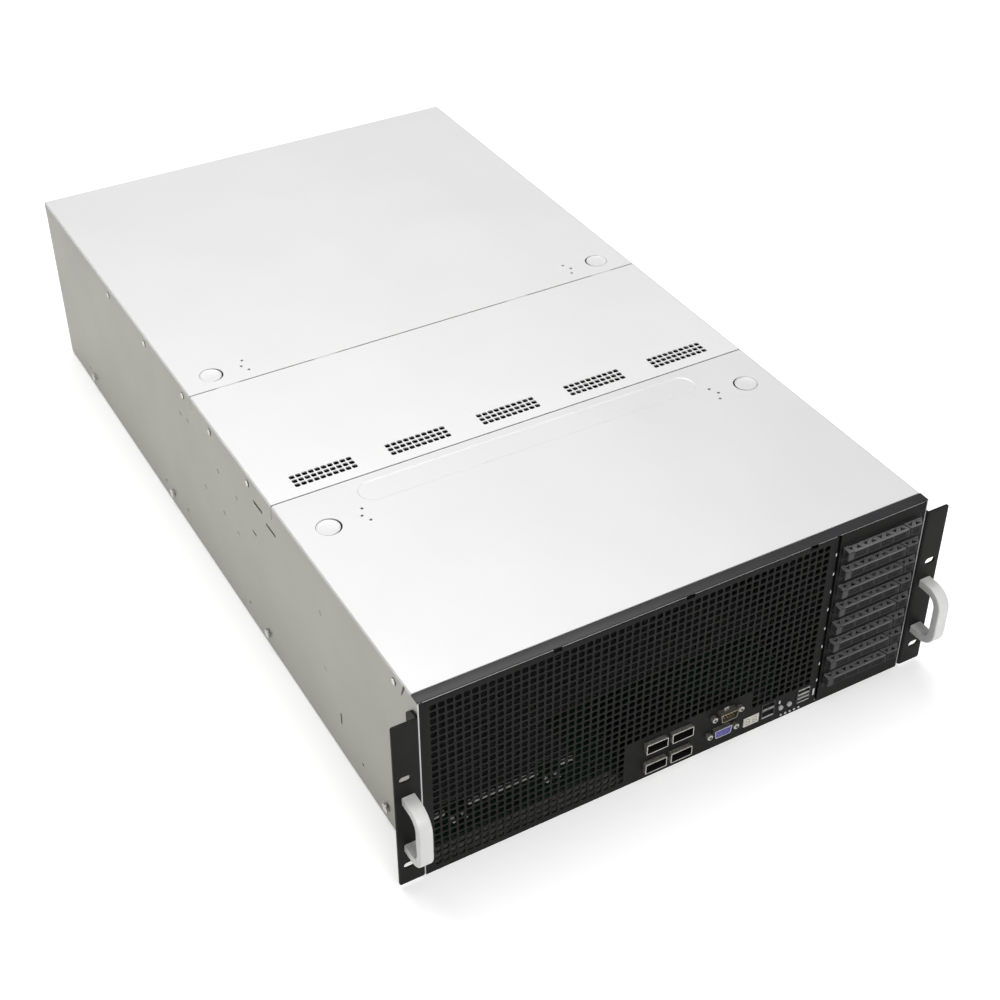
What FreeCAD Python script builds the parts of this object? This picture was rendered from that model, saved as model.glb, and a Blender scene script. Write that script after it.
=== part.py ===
import FreeCAD, Part
import math
import os
from types import SimpleNamespace

import Sketcher
from FreeCAD import Placement, Rotation, Vector

# A 4U rack server with eight accelerator cards, in millimetres.
# +X is to the right seen from the front, the front faces -Y and +Z is up.
# Lengths along Y are given from the front plane of the case, which front_y puts in place.
os.makedirs("parts", exist_ok=True)
doc = FreeCAD.newDocument("gpu_server")

# Driving dimensions
sheet = doc.addObject("Spreadsheet::Sheet", "Sizes")
DIMENSIONS = {
    # Case of folded sheet steel
    "case_width": 438.0,
    "case_depth": 802.0,
    "wall_height": 174.5,
    "wall_gauge": 1.2,
    "wall_lip": 9.0,
    "post_radius": 2.8,
    "panel_gap": 0.2,
    "slide_gap": 0.3,
    # Lift-off covers
    "cover_gauge": 1.0,
    "cover_side_gap": 0.15,
    "cover_skirt": 13.0,
    "front_seam": 242.8,
    "rear_seam": 411.4,
    "seam_gap": 0.5,
    "thumb_radius": 10.3,
    "thumb_groove": 1.1,
    "thumb_depth": 0.5,
    "thumb_side_inset": 28.15,
    "thumb_inset": 21.0,
    "front_thumb_inset": 45.2,
    "bead_end_inset": 65.15,
    "bead_width": 24.0,
    "bead_depth": 0.35,
    "bead_centre_y": 221.5,
    "tab_width": 20.0,
    "tab_reach": 5.0,
    "tab_side_inset": 35.15,
    "tab_inner_x": 95.0,
    "cover_screw_radius": 2.9,
    "cover_screw_drop": 13.7,
    "cover_screw_head": 0.8,
    # Vents of the middle cover, each cell standing for two by three small square holes
    "vent_pitch": 10.9,
    "vent_web": 1.45,
    "vent_length": 15.2,
    "vent_centre_y": 262.2,
    "vent_columns": 5,
    # Rack ears and handles
    "ear_reach": 22.3,
    "ear_gauge": 2.0,
    "ear_base": 3.0,
    "ear_top_gap": 11.3,
    "ear_flange_depth": 14.3,
    "ear_corner_cut": 7.0,
    "ear_bend_radius": 1.9,
    "rack_hole_inset": 8.75,
    "rack_hole_low": 21.4,
    "rack_hole_rise": 88.9,
    "rack_slot_length": 9.6,
    "rack_slot_width": 6.0,
    "handle_inset": 10.3,
    "handle_reach": 28.3,
    "handle_low": 37.0,
    "handle_high": 93.3,
    "handle_width": 10.4,
    "handle_thick": 7.4,
    "handle_bend": 17.0,
    "handle_edge": 1.0,
    "handle_screw_radius": 2.9,
    "handle_screw_head": 2.0,
    "stud_height": 14.5,
    "stud_head_radius": 4.0,
    "stud_neck_radius": 2.5,
    "stud_reach": 3.4,
    "stud_first_y": 60.0,
    "stud_back_gap": 80.5,
    # Front panel
    "panel_gauge": 1.2,
    "panel_return": 7.5,
    "strip_depth": 9.5,
    "mesh_web": 2.2,
    "mesh_side_margin": 5.7,
    "mesh_bay_margin": 6.24,
    "mesh_top_margin": 5.0,
    "mesh_low_top": 44.4,
    "mesh_low_step_z": 19.7,
    "mesh_columns": 13,
    "mesh_full_rows": 5,
    "mesh_low_rows": 2,
    "mesh_corner_rows": 1,
    "mesh_corner_columns": 2,
    # Drive bay with eight trays
    "bay_width": 77.6,
    "bay_side_gap": 0.8,
    "bay_post": 5.3,
    "bay_top_gap": 10.9,
    "bay_low": 13.2,
    "tray_count": 8,
    "tray_gap": 0.4,
    "tray_face": 1.5,
    "rail_height": 11.6,
    "rail_length": 112.0,
    "drive_width": 69.85,
    "drive_length": 100.4,
    "drive_height": 15.0,
    "guide_height": 1.2,
    "guide_width": 3.2,
    "cage_depth": 140.0,
    "lever_reach": 6.2,
    "lever_slant": 3.2,
    "lever_nose": 1.9,
    "catch_slant": 4.9,
    "lever_drop": 0.9,
    "lever_height": 9.3,
    "lever_top": 3.3,
    "lever_wall": 1.3,
    "lever_length": 57.1,
    "lever_end_gap": 1.1,
    "truss_spacing": 7.03,
    "truss_side": 5.4,
    "truss_margin": 1.3,
    "hinge_radius": 1.9,
    "hinge_pin_radius": 0.8,
    "hinge_play": 0.05,
    "lug_gauge": 1.2,
    # Front connectors
    "port_gap": 0.25,
    "network_width": 19.6,
    "network_height": 9.8,
    "network_wall": 0.7,
    "network_from_edge": 144.0,
    "network_pitch_x": 23.5,
    "network_low_z": 13.0,
    "network_pitch_z": 21.2,
    "network_reach": 4.0,
    "network_length": 48.0,
    "serial_from_edge": 90.1,
    "serial_z": 35.0,
    "video_from_edge": 93.3,
    "video_z": 17.6,
    "connector_width": 16.6,
    "connector_height": 8.2,
    "connector_slant": 1.2,
    "serial_reach": 6.0,
    "video_reach": 4.0,
    "jack_span": 25.0,
    "jack_radius": 2.5,
    "jack_reach": 4.6,
    "jack_bore_radius": 1.4,
    "socket_block_depth": 14.0,
    "lan_from_edge": 47.3,
    "usb_from_edge": 12.3,
    "stack_width": 13.0,
    "stack_low": 8.0,
    "stack_high": 23.6,
    "stack_wall": 0.8,
    "stack_depth": 17.0,
    "display_from_edge": 63.3,
    "display_z": 12.0,
    "display_width": 15.0,
    "display_height": 9.4,
    "button_radius": 2.25,
    "button_z": 12.0,
    "power_button_from_edge": 34.5,
    "identify_button_from_edge": 26.0,
    "button_reach": 1.4,
    "button_travel": 1.0,
    "button_length": 8.0,
    "light_radius": 1.1,
    "light_from_edge": 32.9,
    "light_pitch": 4.4,
    "light_z": 2.7,
    # Main board on the lower deck
    "board_left_gap": 5.8,
    "board_right_gap": 1.9,
    "board_front": 16.0,
    "board_back": 400.0,
    "board_base": 6.3,
    "board_gauge": 1.6,
    "sink_width": 78.0,
    "sink_length": 108.0,
    "sink_height": 27.0,
    "sink_fins": 13,
    "sink_fin_gauge": 1.0,
    "module_length": 133.0,
    "module_height": 31.0,
    "module_gauge": 4.0,
    "module_pitch": 9.5,
    "module_first": 7.0,
    "processor_y": 255.0,
    # Upper deck, fans and accelerator cards
    "deck_base": 45.0,
    "deck_gauge": 1.2,
    "deck_front": 7.7,
    "deck_tongue_width": 128.6,
    "deck_notch_width": 19.0,
    "deck_notch_depth": 10.0,
    "deck_notch_first": 28.6,
    "deck_notch_pitch": 78.0,
    "fan_count": 5,
    "fan_side_gap": 10.75,
    "fan_wall_front": 273.0,
    "fan_depth": 56.0,
    "fan_top_gap": 10.3,
    "fan_bore_wall": 3.05,
    "fan_tip_gap": 1.0,
    "fan_hub": 16.0,
    "fan_hub_length": 34.0,
    "fan_boss_radius": 4.0,
    "fan_boss_height": 1.5,
    "fan_blades": 7,
    "blade_gauge": 1.6,
    "blade_chord": 24.0,
    "blade_rise": 17.0,
    "card_count": 8,
    "card_side_gap": 15.0,
    "card_width": 38.6,
    "card_length": 266.0,
    "card_top_gap": 9.3,
    "card_board_base": 50.2,
    "card_board_front": 438.0,
    "card_board_side_gap": 9.8,
    "card_board_gauge": 2.0,
    "slot_height": 8.0,
    # Power supplies
    "supply_pitch": 80.0,
    "supply_width": 73.5,
    "supply_height": 40.0,
    "supply_length": 265.0,
    "rear_reach": 24.0,
    "supply_handle_bar": 5.0,
    "supply_grille_inset": 20.0,
    "supply_grille_radius": 16.0,
    "supply_hub_radius": 7.0,
    "inlet_width": 27.0,
    "inlet_height": 20.0,
}
for row, (alias, number) in enumerate(DIMENSIONS.items(), start=1):
    sheet.set(f"A{row}", alias)
    sheet.set(f"B{row}", str(number))
    sheet.setAlias(f"B{row}", alias)
doc.recompute()


class Size:
    # A length with its number and the sheet formula that it is worked out by.
    def __init__(self, number, formula):
        self.number = number
        self.formula = formula

    def joined(self, other, sign, number):
        return Size(number, f"({self.formula} {sign} {as_size(other).formula})")

    def __add__(self, other):
        return self.joined(other, "+", self.number + as_size(other).number)

    def __sub__(self, other):
        return self.joined(other, "-", self.number - as_size(other).number)

    def __mul__(self, other):
        return self.joined(other, "*", self.number * as_size(other).number)

    def __truediv__(self, other):
        return self.joined(other, "/", self.number / as_size(other).number)

    def __radd__(self, other):
        return as_size(other) + self

    def __rsub__(self, other):
        return as_size(other) - self

    def __rmul__(self, other):
        return as_size(other) * self

    def __neg__(self):
        return as_size(0) - self


def as_size(value):
    if isinstance(value, Size):
        return value
    return Size(float(value), f"({float(value)})")


size = SimpleNamespace(**{name: Size(float(getattr(sheet, name)), f"Sizes.{name}") for name in DIMENSIONS})
front_y = (size.handle_reach - size.case_depth - size.rear_reach) / 2
nodes = []


# Helpers for primitives


def bind(thing, prop, value):
    thing.setExpression(prop, as_size(value).formula)


def place_at(thing, x, y, z):
    bind(thing, "Placement.Base.x", x)
    bind(thing, "Placement.Base.y", y + front_y)
    bind(thing, "Placement.Base.z", z)


def box(name, x_ends, y_ends, z_ends):
    solid = doc.addObject("Part::Box", name)
    for prop, (low, high) in zip(("Length", "Width", "Height"), (x_ends, y_ends, z_ends)):
        bind(solid, prop, as_size(high) - low)
    place_at(solid, x_ends[0], y_ends[0], z_ends[0])
    return solid


TURNS = {"x": Rotation(Vector(0, 1, 0), 90), "y": Rotation(Vector(1, 0, 0), -90), "z": Rotation()}


def rod(name, axis, centre, radius, ends):
    # A round bar along one axis, with centre giving its place on the two other axes.
    solid = doc.addObject("Part::Cylinder", name)
    solid.Placement = Placement(Vector(), TURNS[axis])
    bind(solid, "Radius", radius)
    bind(solid, "Height", as_size(ends[1]) - ends[0])
    place = dict(zip([other for other in "xyz" if other != axis], centre))
    place[axis] = ends[0]
    place_at(solid, place["x"], place["y"], place["z"])
    return solid


def peg(name, axis, centre, radius, ends, sides=6):
    # A small bar with flat sides, placed like a rod.
    solid = doc.addObject("Part::Prism", name)
    solid.Placement = Placement(Vector(), TURNS[axis])
    solid.Polygon = sides
    bind(solid, "Circumradius", radius)
    bind(solid, "Height", as_size(ends[1]) - ends[0])
    place = dict(zip([other for other in "xyz" if other != axis], centre))
    place[axis] = ends[0]
    place_at(solid, place["x"], place["y"], place["z"])
    return solid


def fuse(name, parts):
    joined = doc.addObject("Part::MultiFuse", name)
    joined.Shapes = parts
    joined.Refine = True
    return joined


def group(name, parts):
    together = doc.addObject("Part::Compound", name)
    together.Links = parts
    return together


def cut(name, base, tools):
    result = doc.addObject("Part::Cut", name)
    result.Base = base
    result.Tool = tools[0] if len(tools) == 1 else fuse(name + "_cutters", tools)
    return result


# Helpers for sketched bodies


def body(name, x=0, y=0, z=0):
    made = doc.addObject("PartDesign::Body", name)
    place_at(made, x, as_size(y), z)
    return made


def origin_feature(owner, role):
    return [feature for feature in owner.Origin.OriginFeatures if feature.Role == role][0]


def sketch(owner, plane, height=0):
    # The plane's own normal carries the height: +Z on XY, -Y on XZ, +X on YZ.
    made = owner.newObject("Sketcher::SketchObject", owner.Name + "_sketch")
    made.AttachmentSupport = [(origin_feature(owner, plane), "")]
    made.MapMode = "FlatFace"
    bind(made, "AttachmentOffset.Base.z", height)
    return made


def tie(made, constraints):
    # Adds constraints in one step, each with the formula that drives it.
    first = made.ConstraintCount
    made.addConstraint([constraint for constraint, formula in constraints])
    for index, (constraint, formula) in enumerate(constraints, start=first):
        if formula:
            made.setExpression(f"Constraints[{index}]", formula)


def at_point(element, end, x, y):
    constraints = []
    for kind, value in (("DistanceX", as_size(x)), ("DistanceY", as_size(y))):
        constraints.append((Sketcher.Constraint(kind, -1, 1, element, end, value.number), value.formula))
    return constraints


def outline(made, points):
    first = made.GeometryCount
    corners = [Vector(as_size(x).number, as_size(y).number, 0) for x, y in points]
    count = len(corners)
    made.addGeometry([Part.LineSegment(corners[index], corners[(index + 1) % count]) for index in range(count)], False)
    constraints = []
    for index, (x, y) in enumerate(points):
        following = first + (index + 1) % count
        constraints.append((Sketcher.Constraint("Coincident", first + index, 2, following, 1), None))
        constraints += at_point(first + index, 1, x, y)
    tie(made, constraints)


def rectangle(made, x_ends, y_ends):
    (left, right), (low, high) = x_ends, y_ends
    outline(made, [(left, low), (right, low), (right, high), (left, high)])


def circle(made, x, y, radius):
    radius = as_size(radius)
    centre = Vector(as_size(x).number, as_size(y).number, 0)
    element = made.addGeometry(Part.Circle(centre, Vector(0, 0, 1), radius.number), False)
    held = Sketcher.Constraint("Radius", element, radius.number)
    tie(made, at_point(element, 3, x, y) + [(held, radius.formula)])


def flat_sided(made, x, y, radius, sides):
    # A regular outline with its corners on a circle.
    points = []
    for index in range(sides):
        angle = 2 * math.pi * (index + 0.5) / sides
        points.append((as_size(x) + radius * math.cos(angle), as_size(y) + radius * math.sin(angle)))
    outline(made, points)


def long_hole(made, x, y, length, width):
    # Two straight sides between two half circles, along the sketch's X axis.
    left, right = as_size(x) - (length - width) / 2, as_size(x) + (length - width) / 2
    low, high = as_size(y) - width / 2, as_size(y) + width / 2
    corner = {(a, b): Vector(a.number, b.number, 0) for a in (left, right) for b in (low, high)}
    arcs = []
    for end, turn in ((right, -90), (left, 90)):
        round_end = Part.Circle(Vector(end.number, as_size(y).number, 0), Vector(0, 0, 1), width.number / 2)
        arcs.append(Part.ArcOfCircle(round_end, math.radians(turn), math.radians(turn + 180)))
    first = made.GeometryCount
    made.addGeometry([
        Part.LineSegment(corner[left, low], corner[right, low]), arcs[0],
        Part.LineSegment(corner[right, high], corner[left, high]), arcs[1],
    ], False)
    constraints = at_point(first, 1, left, low) + at_point(first, 2, right, low)
    constraints += at_point(first + 2, 1, right, high) + at_point(first + 2, 2, left, high)
    for index in range(4):
        following = first + (index + 1) % 4
        constraints.append((Sketcher.Constraint("Coincident", first + index, 2, following, 1), None))
    for element, end in ((first + 1, right), (first + 3, left)):
        constraints.append((Sketcher.Constraint("DistanceX", -1, 1, element, 3, end.number), end.formula))
    tie(made, constraints)


def pad(owner, profile, length, reverse=False):
    feature = owner.newObject("PartDesign::Pad", owner.Name + "_pad")
    feature.Profile = profile
    bind(feature, "Length", length)
    feature.Reversed = reverse
    return feature


def pocket(owner, profile, depth=None, reverse=False):
    feature = owner.newObject("PartDesign::Pocket", owner.Name + "_pocket")
    feature.Profile = profile
    if depth is None:
        feature.Type = "ThroughAll"
        feature.Midplane = True
    else:
        bind(feature, "Length", depth)
        feature.Reversed = reverse
    return feature


def fillet_edges(owner, radius, wanted):
    # Rounds the edges of the body's tip that the test picks.
    doc.recompute()
    base = owner.Tip
    names = [f"Edge{index + 1}" for index, edge in enumerate(base.Shape.Edges) if wanted(edge)]
    feature = owner.newObject("PartDesign::Fillet", owner.Name + "_fillet")
    feature.Base = (base, names)
    bind(feature, "Radius", radius)
    return feature


def bevel_edges(owner, width, wanted):
    # Takes a flat bevel off the edges of the body's tip that the test picks.
    doc.recompute()
    base = owner.Tip
    names = [f"Edge{index + 1}" for index, edge in enumerate(base.Shape.Edges) if wanted(edge)]
    feature = owner.newObject("PartDesign::Chamfer", owner.Name + "_bevel")
    feature.Base = (base, names)
    bind(feature, "Size", width)
    return feature


def grid(owner, feature, profile, steps):
    # Repeats a feature: each step is a sketch axis, a count and a pitch.
    pattern = owner.newObject("PartDesign::MultiTransform", owner.Name + "_grid")
    pattern.Originals = [feature]
    rows = []
    for axis, count, pitch in steps:
        row = owner.newObject("PartDesign::LinearPattern", owner.Name + "_row")
        row.Direction = (profile, [axis])
        bind(row, "Occurrences", count)
        bind(row, "Length", pitch * (count - 1))
        rows.append(row)
    pattern.Transformations = rows
    owner.Tip = pattern
    return pattern


def node(thing, label):
    thing.Label = label
    nodes.append(thing)
    return thing


# Places that several pieces share

case_half = size.case_width / 2
inner_half = case_half - size.wall_gauge
floor = size.wall_gauge
cover_top = size.wall_height + size.cover_gauge
panel_half = inner_half - size.panel_gap
panel_top = size.wall_height - 0.3
board_top = size.board_base + size.board_gauge
deck_top = size.deck_base + size.deck_gauge
cover_half = case_half + size.cover_side_gap + size.cover_gauge
ear_tip = case_half + size.ear_reach
rack_hole_x = ear_tip - size.rack_hole_inset
handle_x = ear_tip - size.handle_inset
bay_right = panel_half - size.bay_side_gap
bay_left = bay_right - size.bay_width
panel_right = bay_left - size.bay_post
board_left = -inner_half + size.board_left_gap
board_right = panel_right - size.board_right_gap
board_quarter = (board_right - board_left) / 4
sink_places = (board_left + board_quarter, board_right - board_quarter)
bay_top = size.wall_height - size.bay_top_gap
tray_pitch = (bay_top - size.bay_low) / size.tray_count
ear_height = size.wall_height - size.ear_top_gap - size.ear_base
thumb_x = cover_half - size.thumb_side_inset
bead_half_length = cover_half - size.bead_end_inset
tab_outer_x = cover_half - size.tab_side_inset
stud_pitch = (size.case_depth - size.stud_back_gap - size.stud_first_y) / 3
serial_x = panel_right - size.serial_from_edge
video_x = panel_right - size.video_from_edge
lan_x = panel_right - size.lan_from_edge
usb_x = panel_right - size.usb_from_edge
display_x = panel_right - size.display_from_edge
network_centre_x = panel_right - size.network_from_edge
fan_frame_height = size.wall_height - size.fan_top_gap - deck_top
fan_axis_z = deck_top + fan_frame_height / 2
fan_pitch = (size.case_width - 2 * size.fan_side_gap) / size.fan_count
fan_bore = fan_pitch / 2 - size.fan_bore_wall
card_pitch = (size.case_width - 2 * size.card_side_gap) / size.card_count
card_low = size.card_board_base + size.card_board_gauge + size.slot_height
card_height = size.wall_height - size.card_top_gap - card_low
supply_low = floor + size.slide_gap
supply_high = supply_low + size.supply_height


def mirrored_x(side, ends):
    # The pair of ends on the right side, or the same pair on the left side.
    return ends if side > 0 else (-ends[1], -ends[0])


# Case


def chassis_tray():
    tray = body("chassis_tray")
    top = size.wall_height
    under = top - size.wall_gauge
    lip = case_half - size.wall_lip
    profile = sketch(tray, "XZ_Plane")
    right = [(case_half, top), (lip, top), (lip, under), (inner_half, under), (inner_half, floor)]
    left = [(-x, z) for x, z in reversed(right)]
    outline(profile, [(-case_half, 0), (case_half, 0)] + right + left)
    pad(tray, profile, size.case_depth, reverse=True)

    # The lips stop behind the front panels.
    notch = sketch(tray, "XY_Plane", top)
    rectangle(notch, (-inner_half, inner_half), (-1, size.strip_depth + 0.5))
    pocket(tray, notch, size.wall_gauge)

    # Posts that carry the main board
    posts = sketch(tray, "XY_Plane", floor)
    for x in (board_left + 12, board_left / 2 + 15, 60, board_right - 12):
        for y in (size.board_front + 55, size.board_back - 12):
            flat_sided(posts, x, y, size.post_radius, 6)
    pad(tray, posts, size.board_base - floor)

    # Narrow slots and holes in both side walls
    slots = sketch(tray, "YZ_Plane")
    rectangle(slots, (134.5, 137), (35, 47))
    rectangle(slots, (283, 291), (top - 58.1, top - 55.9))
    rectangle(slots, (239, 257), (top - 28, top - 25))
    rectangle(slots, (263, 281), (top - 21.5, top - 18.5))
    pocket(tray, slots)
    node(tray, "chassis_tray")


def deck_plate():
    deck = body("deck_plate")
    plan = sketch(deck, "XY_Plane", size.deck_base)
    half = panel_half
    cage_back = size.cage_depth + 8
    rear = size.case_depth - size.panel_gauge - size.panel_gap
    front = size.deck_front
    tongue = -half + size.deck_tongue_width
    notched = [(-half, front)]
    for step in (0, 1):
        x = -half + size.deck_notch_first + step * size.deck_notch_pitch
        left, right = x - size.deck_notch_width / 2, x + size.deck_notch_width / 2
        inner = front + size.deck_notch_depth
        notched += [(left, front), (left, inner), (right, inner), (right, front)]
    outline(plan, notched + [
        (tongue, front),
        (tongue, 56),
        (panel_right, 56),
        (panel_right, cage_back),
        (half, cage_back),
        (half, rear),
        (-half, rear),
    ])
    pad(deck, plan, size.deck_gauge)

    # Windows for the power and signal cables
    windows = sketch(deck, "XY_Plane", size.deck_base)
    for side in (-1, 1):
        rectangle(windows, mirrored_x(side, (60, 180)), (350, 385))
    pocket(deck, windows)

    # Posts that carry the card board
    posts = sketch(deck, "XY_Plane", deck_top)
    for x in (-190, -64, 64, 190):
        for y in (size.card_board_front + 12, size.case_depth - 22):
            flat_sided(posts, x, y, size.post_radius, 6)
    pad(deck, posts, size.card_board_base - deck_top)
    node(deck, "deck_plate")


def card_x(index):
    return card_pitch * (index - 3.5)


def supply_x(index):
    return size.supply_pitch * (index - 1.5)


def rear_panel():
    panel = body("rear_panel_sheet")
    back = size.case_depth
    split = supply_high + 0.8
    face = sketch(panel, "XZ_Plane", -(back - size.panel_gauge))
    rectangle(face, (-panel_half, panel_half), (split, size.wall_height - size.wall_gauge))
    pad(panel, face, size.panel_gauge, reverse=True)
    windows = sketch(panel, "XZ_Plane", -back)
    for index in range(8):
        middle = card_x(index)
        rectangle(windows, (middle - 17.5, middle + 17.5), (card_low + 3.8, size.wall_height - 12.5))
    pocket(panel, windows)

    # Below it three posts stand between the supplies, and a slotted sheet on either side of them.
    half = size.supply_width / 2 + 0.8
    y_ends = (back - size.panel_gauge, back)
    parts = [panel]
    for index in range(3):
        parts.append(box("rear_post", (supply_x(index) + half, supply_x(index + 1) - half), y_ends, (floor, split)))
    for side in (-1, 1):
        sheet_low = box("rear_side", mirrored_x(side, (supply_x(3) + half, panel_half)), y_ends, (floor, split))
        slots = []
        for row in range(4):
            low = 8 + 9 * row
            x_ends = mirrored_x(side, (2 * size.supply_pitch + 8, panel_half - 9.6))
            slots.append(box("rear_slot", x_ends, (back - 3, back + 1), (low, low + 4)))
        parts.append(cut("rear_side_sheet", sheet_low, slots))
    node(group("rear_panel_set", parts), "rear_panel")


def front_mesh_panel():
    panel = body("front_panel_sheet")
    plate = sketch(panel, "XZ_Plane")
    rectangle(plate, (-panel_half, panel_right), (floor, panel_top))
    pad(panel, plate, size.panel_gauge, reverse=True)
    fold = sketch(panel, "XZ_Plane", -size.panel_gauge)
    rectangle(fold, (-panel_half, panel_right), (panel_top - size.panel_gauge, panel_top))
    pad(panel, fold, size.panel_return, reverse=True)

    # Openings that the connectors, the lights and the buttons look through
    ports = sketch(panel, "XZ_Plane")
    gap = size.port_gap
    for x, z in network_places():
        half_wide = size.network_width / 2 + gap
        half_high = size.network_height / 2 + gap
        rectangle(ports, (x - half_wide, x + half_wide), (z - half_high, z + half_high))
    for x, z in ((serial_x, size.serial_z), (video_x, size.video_z)):
        half_wide = size.connector_width / 2 + gap
        half_high = size.connector_height / 2 + gap
        rectangle(ports, (x - half_wide, x + half_wide), (z - half_high, z + half_high))
    for x in (lan_x, usb_x):
        half_wide = size.stack_width / 2 + gap
        rectangle(ports, (x - half_wide, x + half_wide), (size.stack_low - gap, size.stack_high + gap))
    half_wide = size.display_width / 2 + gap
    half_high = size.display_height / 2 + gap
    rectangle(
        ports,
        (display_x - half_wide, display_x + half_wide),
        (size.display_z - half_high, size.display_z + half_high),
    )
    for x in (panel_right - size.power_button_from_edge, panel_right - size.identify_button_from_edge):
        circle(ports, x, size.button_z, size.button_radius + gap)
    for index in range(5):
        flat_sided(ports, panel_right - size.light_from_edge + index * size.light_pitch, size.light_z, size.light_radius + 0.2, 8)
    pocket(panel, ports)

    # The open lattice, as coarse cells that each stand for a group of small square holes
    left = (-panel_half + size.mesh_side_margin).number
    top = (panel_top - size.mesh_top_margin).number
    step = ((panel_right - size.mesh_bay_margin).number - left) / sheet.mesh_columns
    full_rise = (top - sheet.mesh_low_top) / sheet.mesh_full_rows
    ports_left = (network_centre_x - size.network_pitch_x / 2 - size.network_width / 2).number
    low_columns = int((ports_left - 8 - left) / step)
    right = left + step * (sheet.mesh_columns - sheet.mesh_corner_columns)
    low = sheet.mesh_low_top
    fields = (
        (left, top, sheet.mesh_columns, sheet.mesh_full_rows, full_rise),
        (left, low, low_columns, sheet.mesh_low_rows, sheet.mesh_low_step_z),
        (right, low, sheet.mesh_corner_columns, sheet.mesh_corner_rows, sheet.mesh_low_step_z),
    )
    wide = step - sheet.mesh_web
    cells = []
    for start_x, start_z, columns, rows, rise in fields:
        high = rise - sheet.mesh_web
        for column in range(int(columns)):
            for row in range(int(rows)):
                corner = Vector(start_x + step * column, front_y.number - 1, start_z - rise * row - high)
                cells.append(Part.makeBox(wide, sheet.panel_gauge + 2, high, corner))
    lattice = doc.addObject("Part::Feature", "front_panel_cells")
    lattice.Shape = Part.makeCompound(cells)
    node(cut("front_panel_mesh", panel, [lattice]), "front_mesh_panel")


def front_top_strip():
    strip = box("front_top_strip", (-cover_half, cover_half), (0, size.strip_depth), (size.wall_height, cover_top))
    node(strip, "front_top_strip")


# Covers


def cover(name, start, end):
    made = body(name)
    outer = cover_half
    inner = cover_half - size.cover_gauge
    skirt = cover_top - size.cover_skirt
    profile = sketch(made, "XZ_Plane", -as_size(start))
    outline(profile, [
        (-outer, skirt), (-inner, skirt), (-inner, size.wall_height), (inner, size.wall_height),
        (inner, skirt), (outer, skirt), (outer, cover_top), (-outer, cover_top),
    ])
    pad(made, profile, as_size(end) - start, reverse=True)
    return made


def thumb_rings(made, y):
    rings = sketch(made, "XY_Plane", cover_top)
    for side in (-1, 1):
        circle(rings, side * thumb_x, y, size.thumb_radius)
        circle(rings, side * thumb_x, y, size.thumb_radius - size.thumb_groove)
    pocket(made, rings, size.thumb_depth)


def cover_screws(name, places):
    screws = []
    for side in (-1, 1):
        for y in places:
            ends = mirrored_x(side, (cover_half, cover_half + size.cover_screw_head))
            screws.append(peg(name + "_screw", "x", (y, (cover_top - size.cover_screw_drop)), size.cover_screw_radius, ends))
    return screws


def top_cover_front():
    made = cover("front_cover_sheet", size.strip_depth + size.seam_gap, size.front_seam - size.seam_gap / 2)
    thumb_rings(made, size.front_seam - size.front_thumb_inset)
    bead = sketch(made, "XY_Plane", cover_top)
    half_width = size.bead_width / 2
    middle = size.bead_centre_y
    outline(bead, [
        (-bead_half_length, middle - half_width / 2),
        (-bead_half_length + half_width / 2, middle - half_width),
        (bead_half_length - half_width / 2, middle - half_width),
        (bead_half_length, middle - half_width / 2),
        (bead_half_length, middle + half_width / 2),
        (bead_half_length - half_width / 2, middle + half_width),
        (-bead_half_length + half_width / 2, middle + half_width),
        (-bead_half_length, middle + half_width / 2),
    ])
    pocket(made, bead, size.bead_depth)
    node(group("front_cover", [made] + cover_screws("front_cover", (35,))), "top_cover_front")


def top_cover_middle():
    made = cover("middle_cover_sheet", size.front_seam + size.seam_gap / 2, size.rear_seam - size.seam_gap / 2)
    square = sketch(made, "XY_Plane", cover_top)
    row_half = size.vent_pitch * (size.vent_columns - 1) / 2
    first_x = -(size.fan_count - 1) / 2 * fan_pitch - row_half
    half = (size.vent_pitch - size.vent_web) / 2
    half_length = size.vent_length / 2
    middle = size.vent_centre_y
    rectangle(square, (first_x - half, first_x + half), (middle - half_length, middle + half_length))
    opening = pocket(made, square)
    grid(made, opening, square, (
        ("H_Axis", size.vent_columns, size.vent_pitch),
        ("H_Axis", size.fan_count, fan_pitch),
    ))
    node(group("middle_cover", [made] + cover_screws("middle_cover", (290, 369))), "top_cover_middle")


def top_cover_rear():
    made = cover("rear_cover_sheet", size.rear_seam + size.seam_gap / 2, size.case_depth)
    thumb_rings(made, size.rear_seam + size.thumb_inset)
    tabs = sketch(made, "XY_Plane", size.wall_height)
    start = size.rear_seam - size.tab_reach
    for x in (size.tab_inner_x, tab_outer_x):
        for side in (-1, 1):
            half = size.tab_width / 2
            rectangle(tabs, mirrored_x(side, (x - half, x + half)), (start, size.rear_seam + size.tab_reach))
    pad(made, tabs, size.cover_gauge, reverse=True)
    node(group("rear_cover", [made] + cover_screws("rear_cover", (429.5, 522, 616))), "top_cover_rear")


# Rack ears and handles


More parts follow.
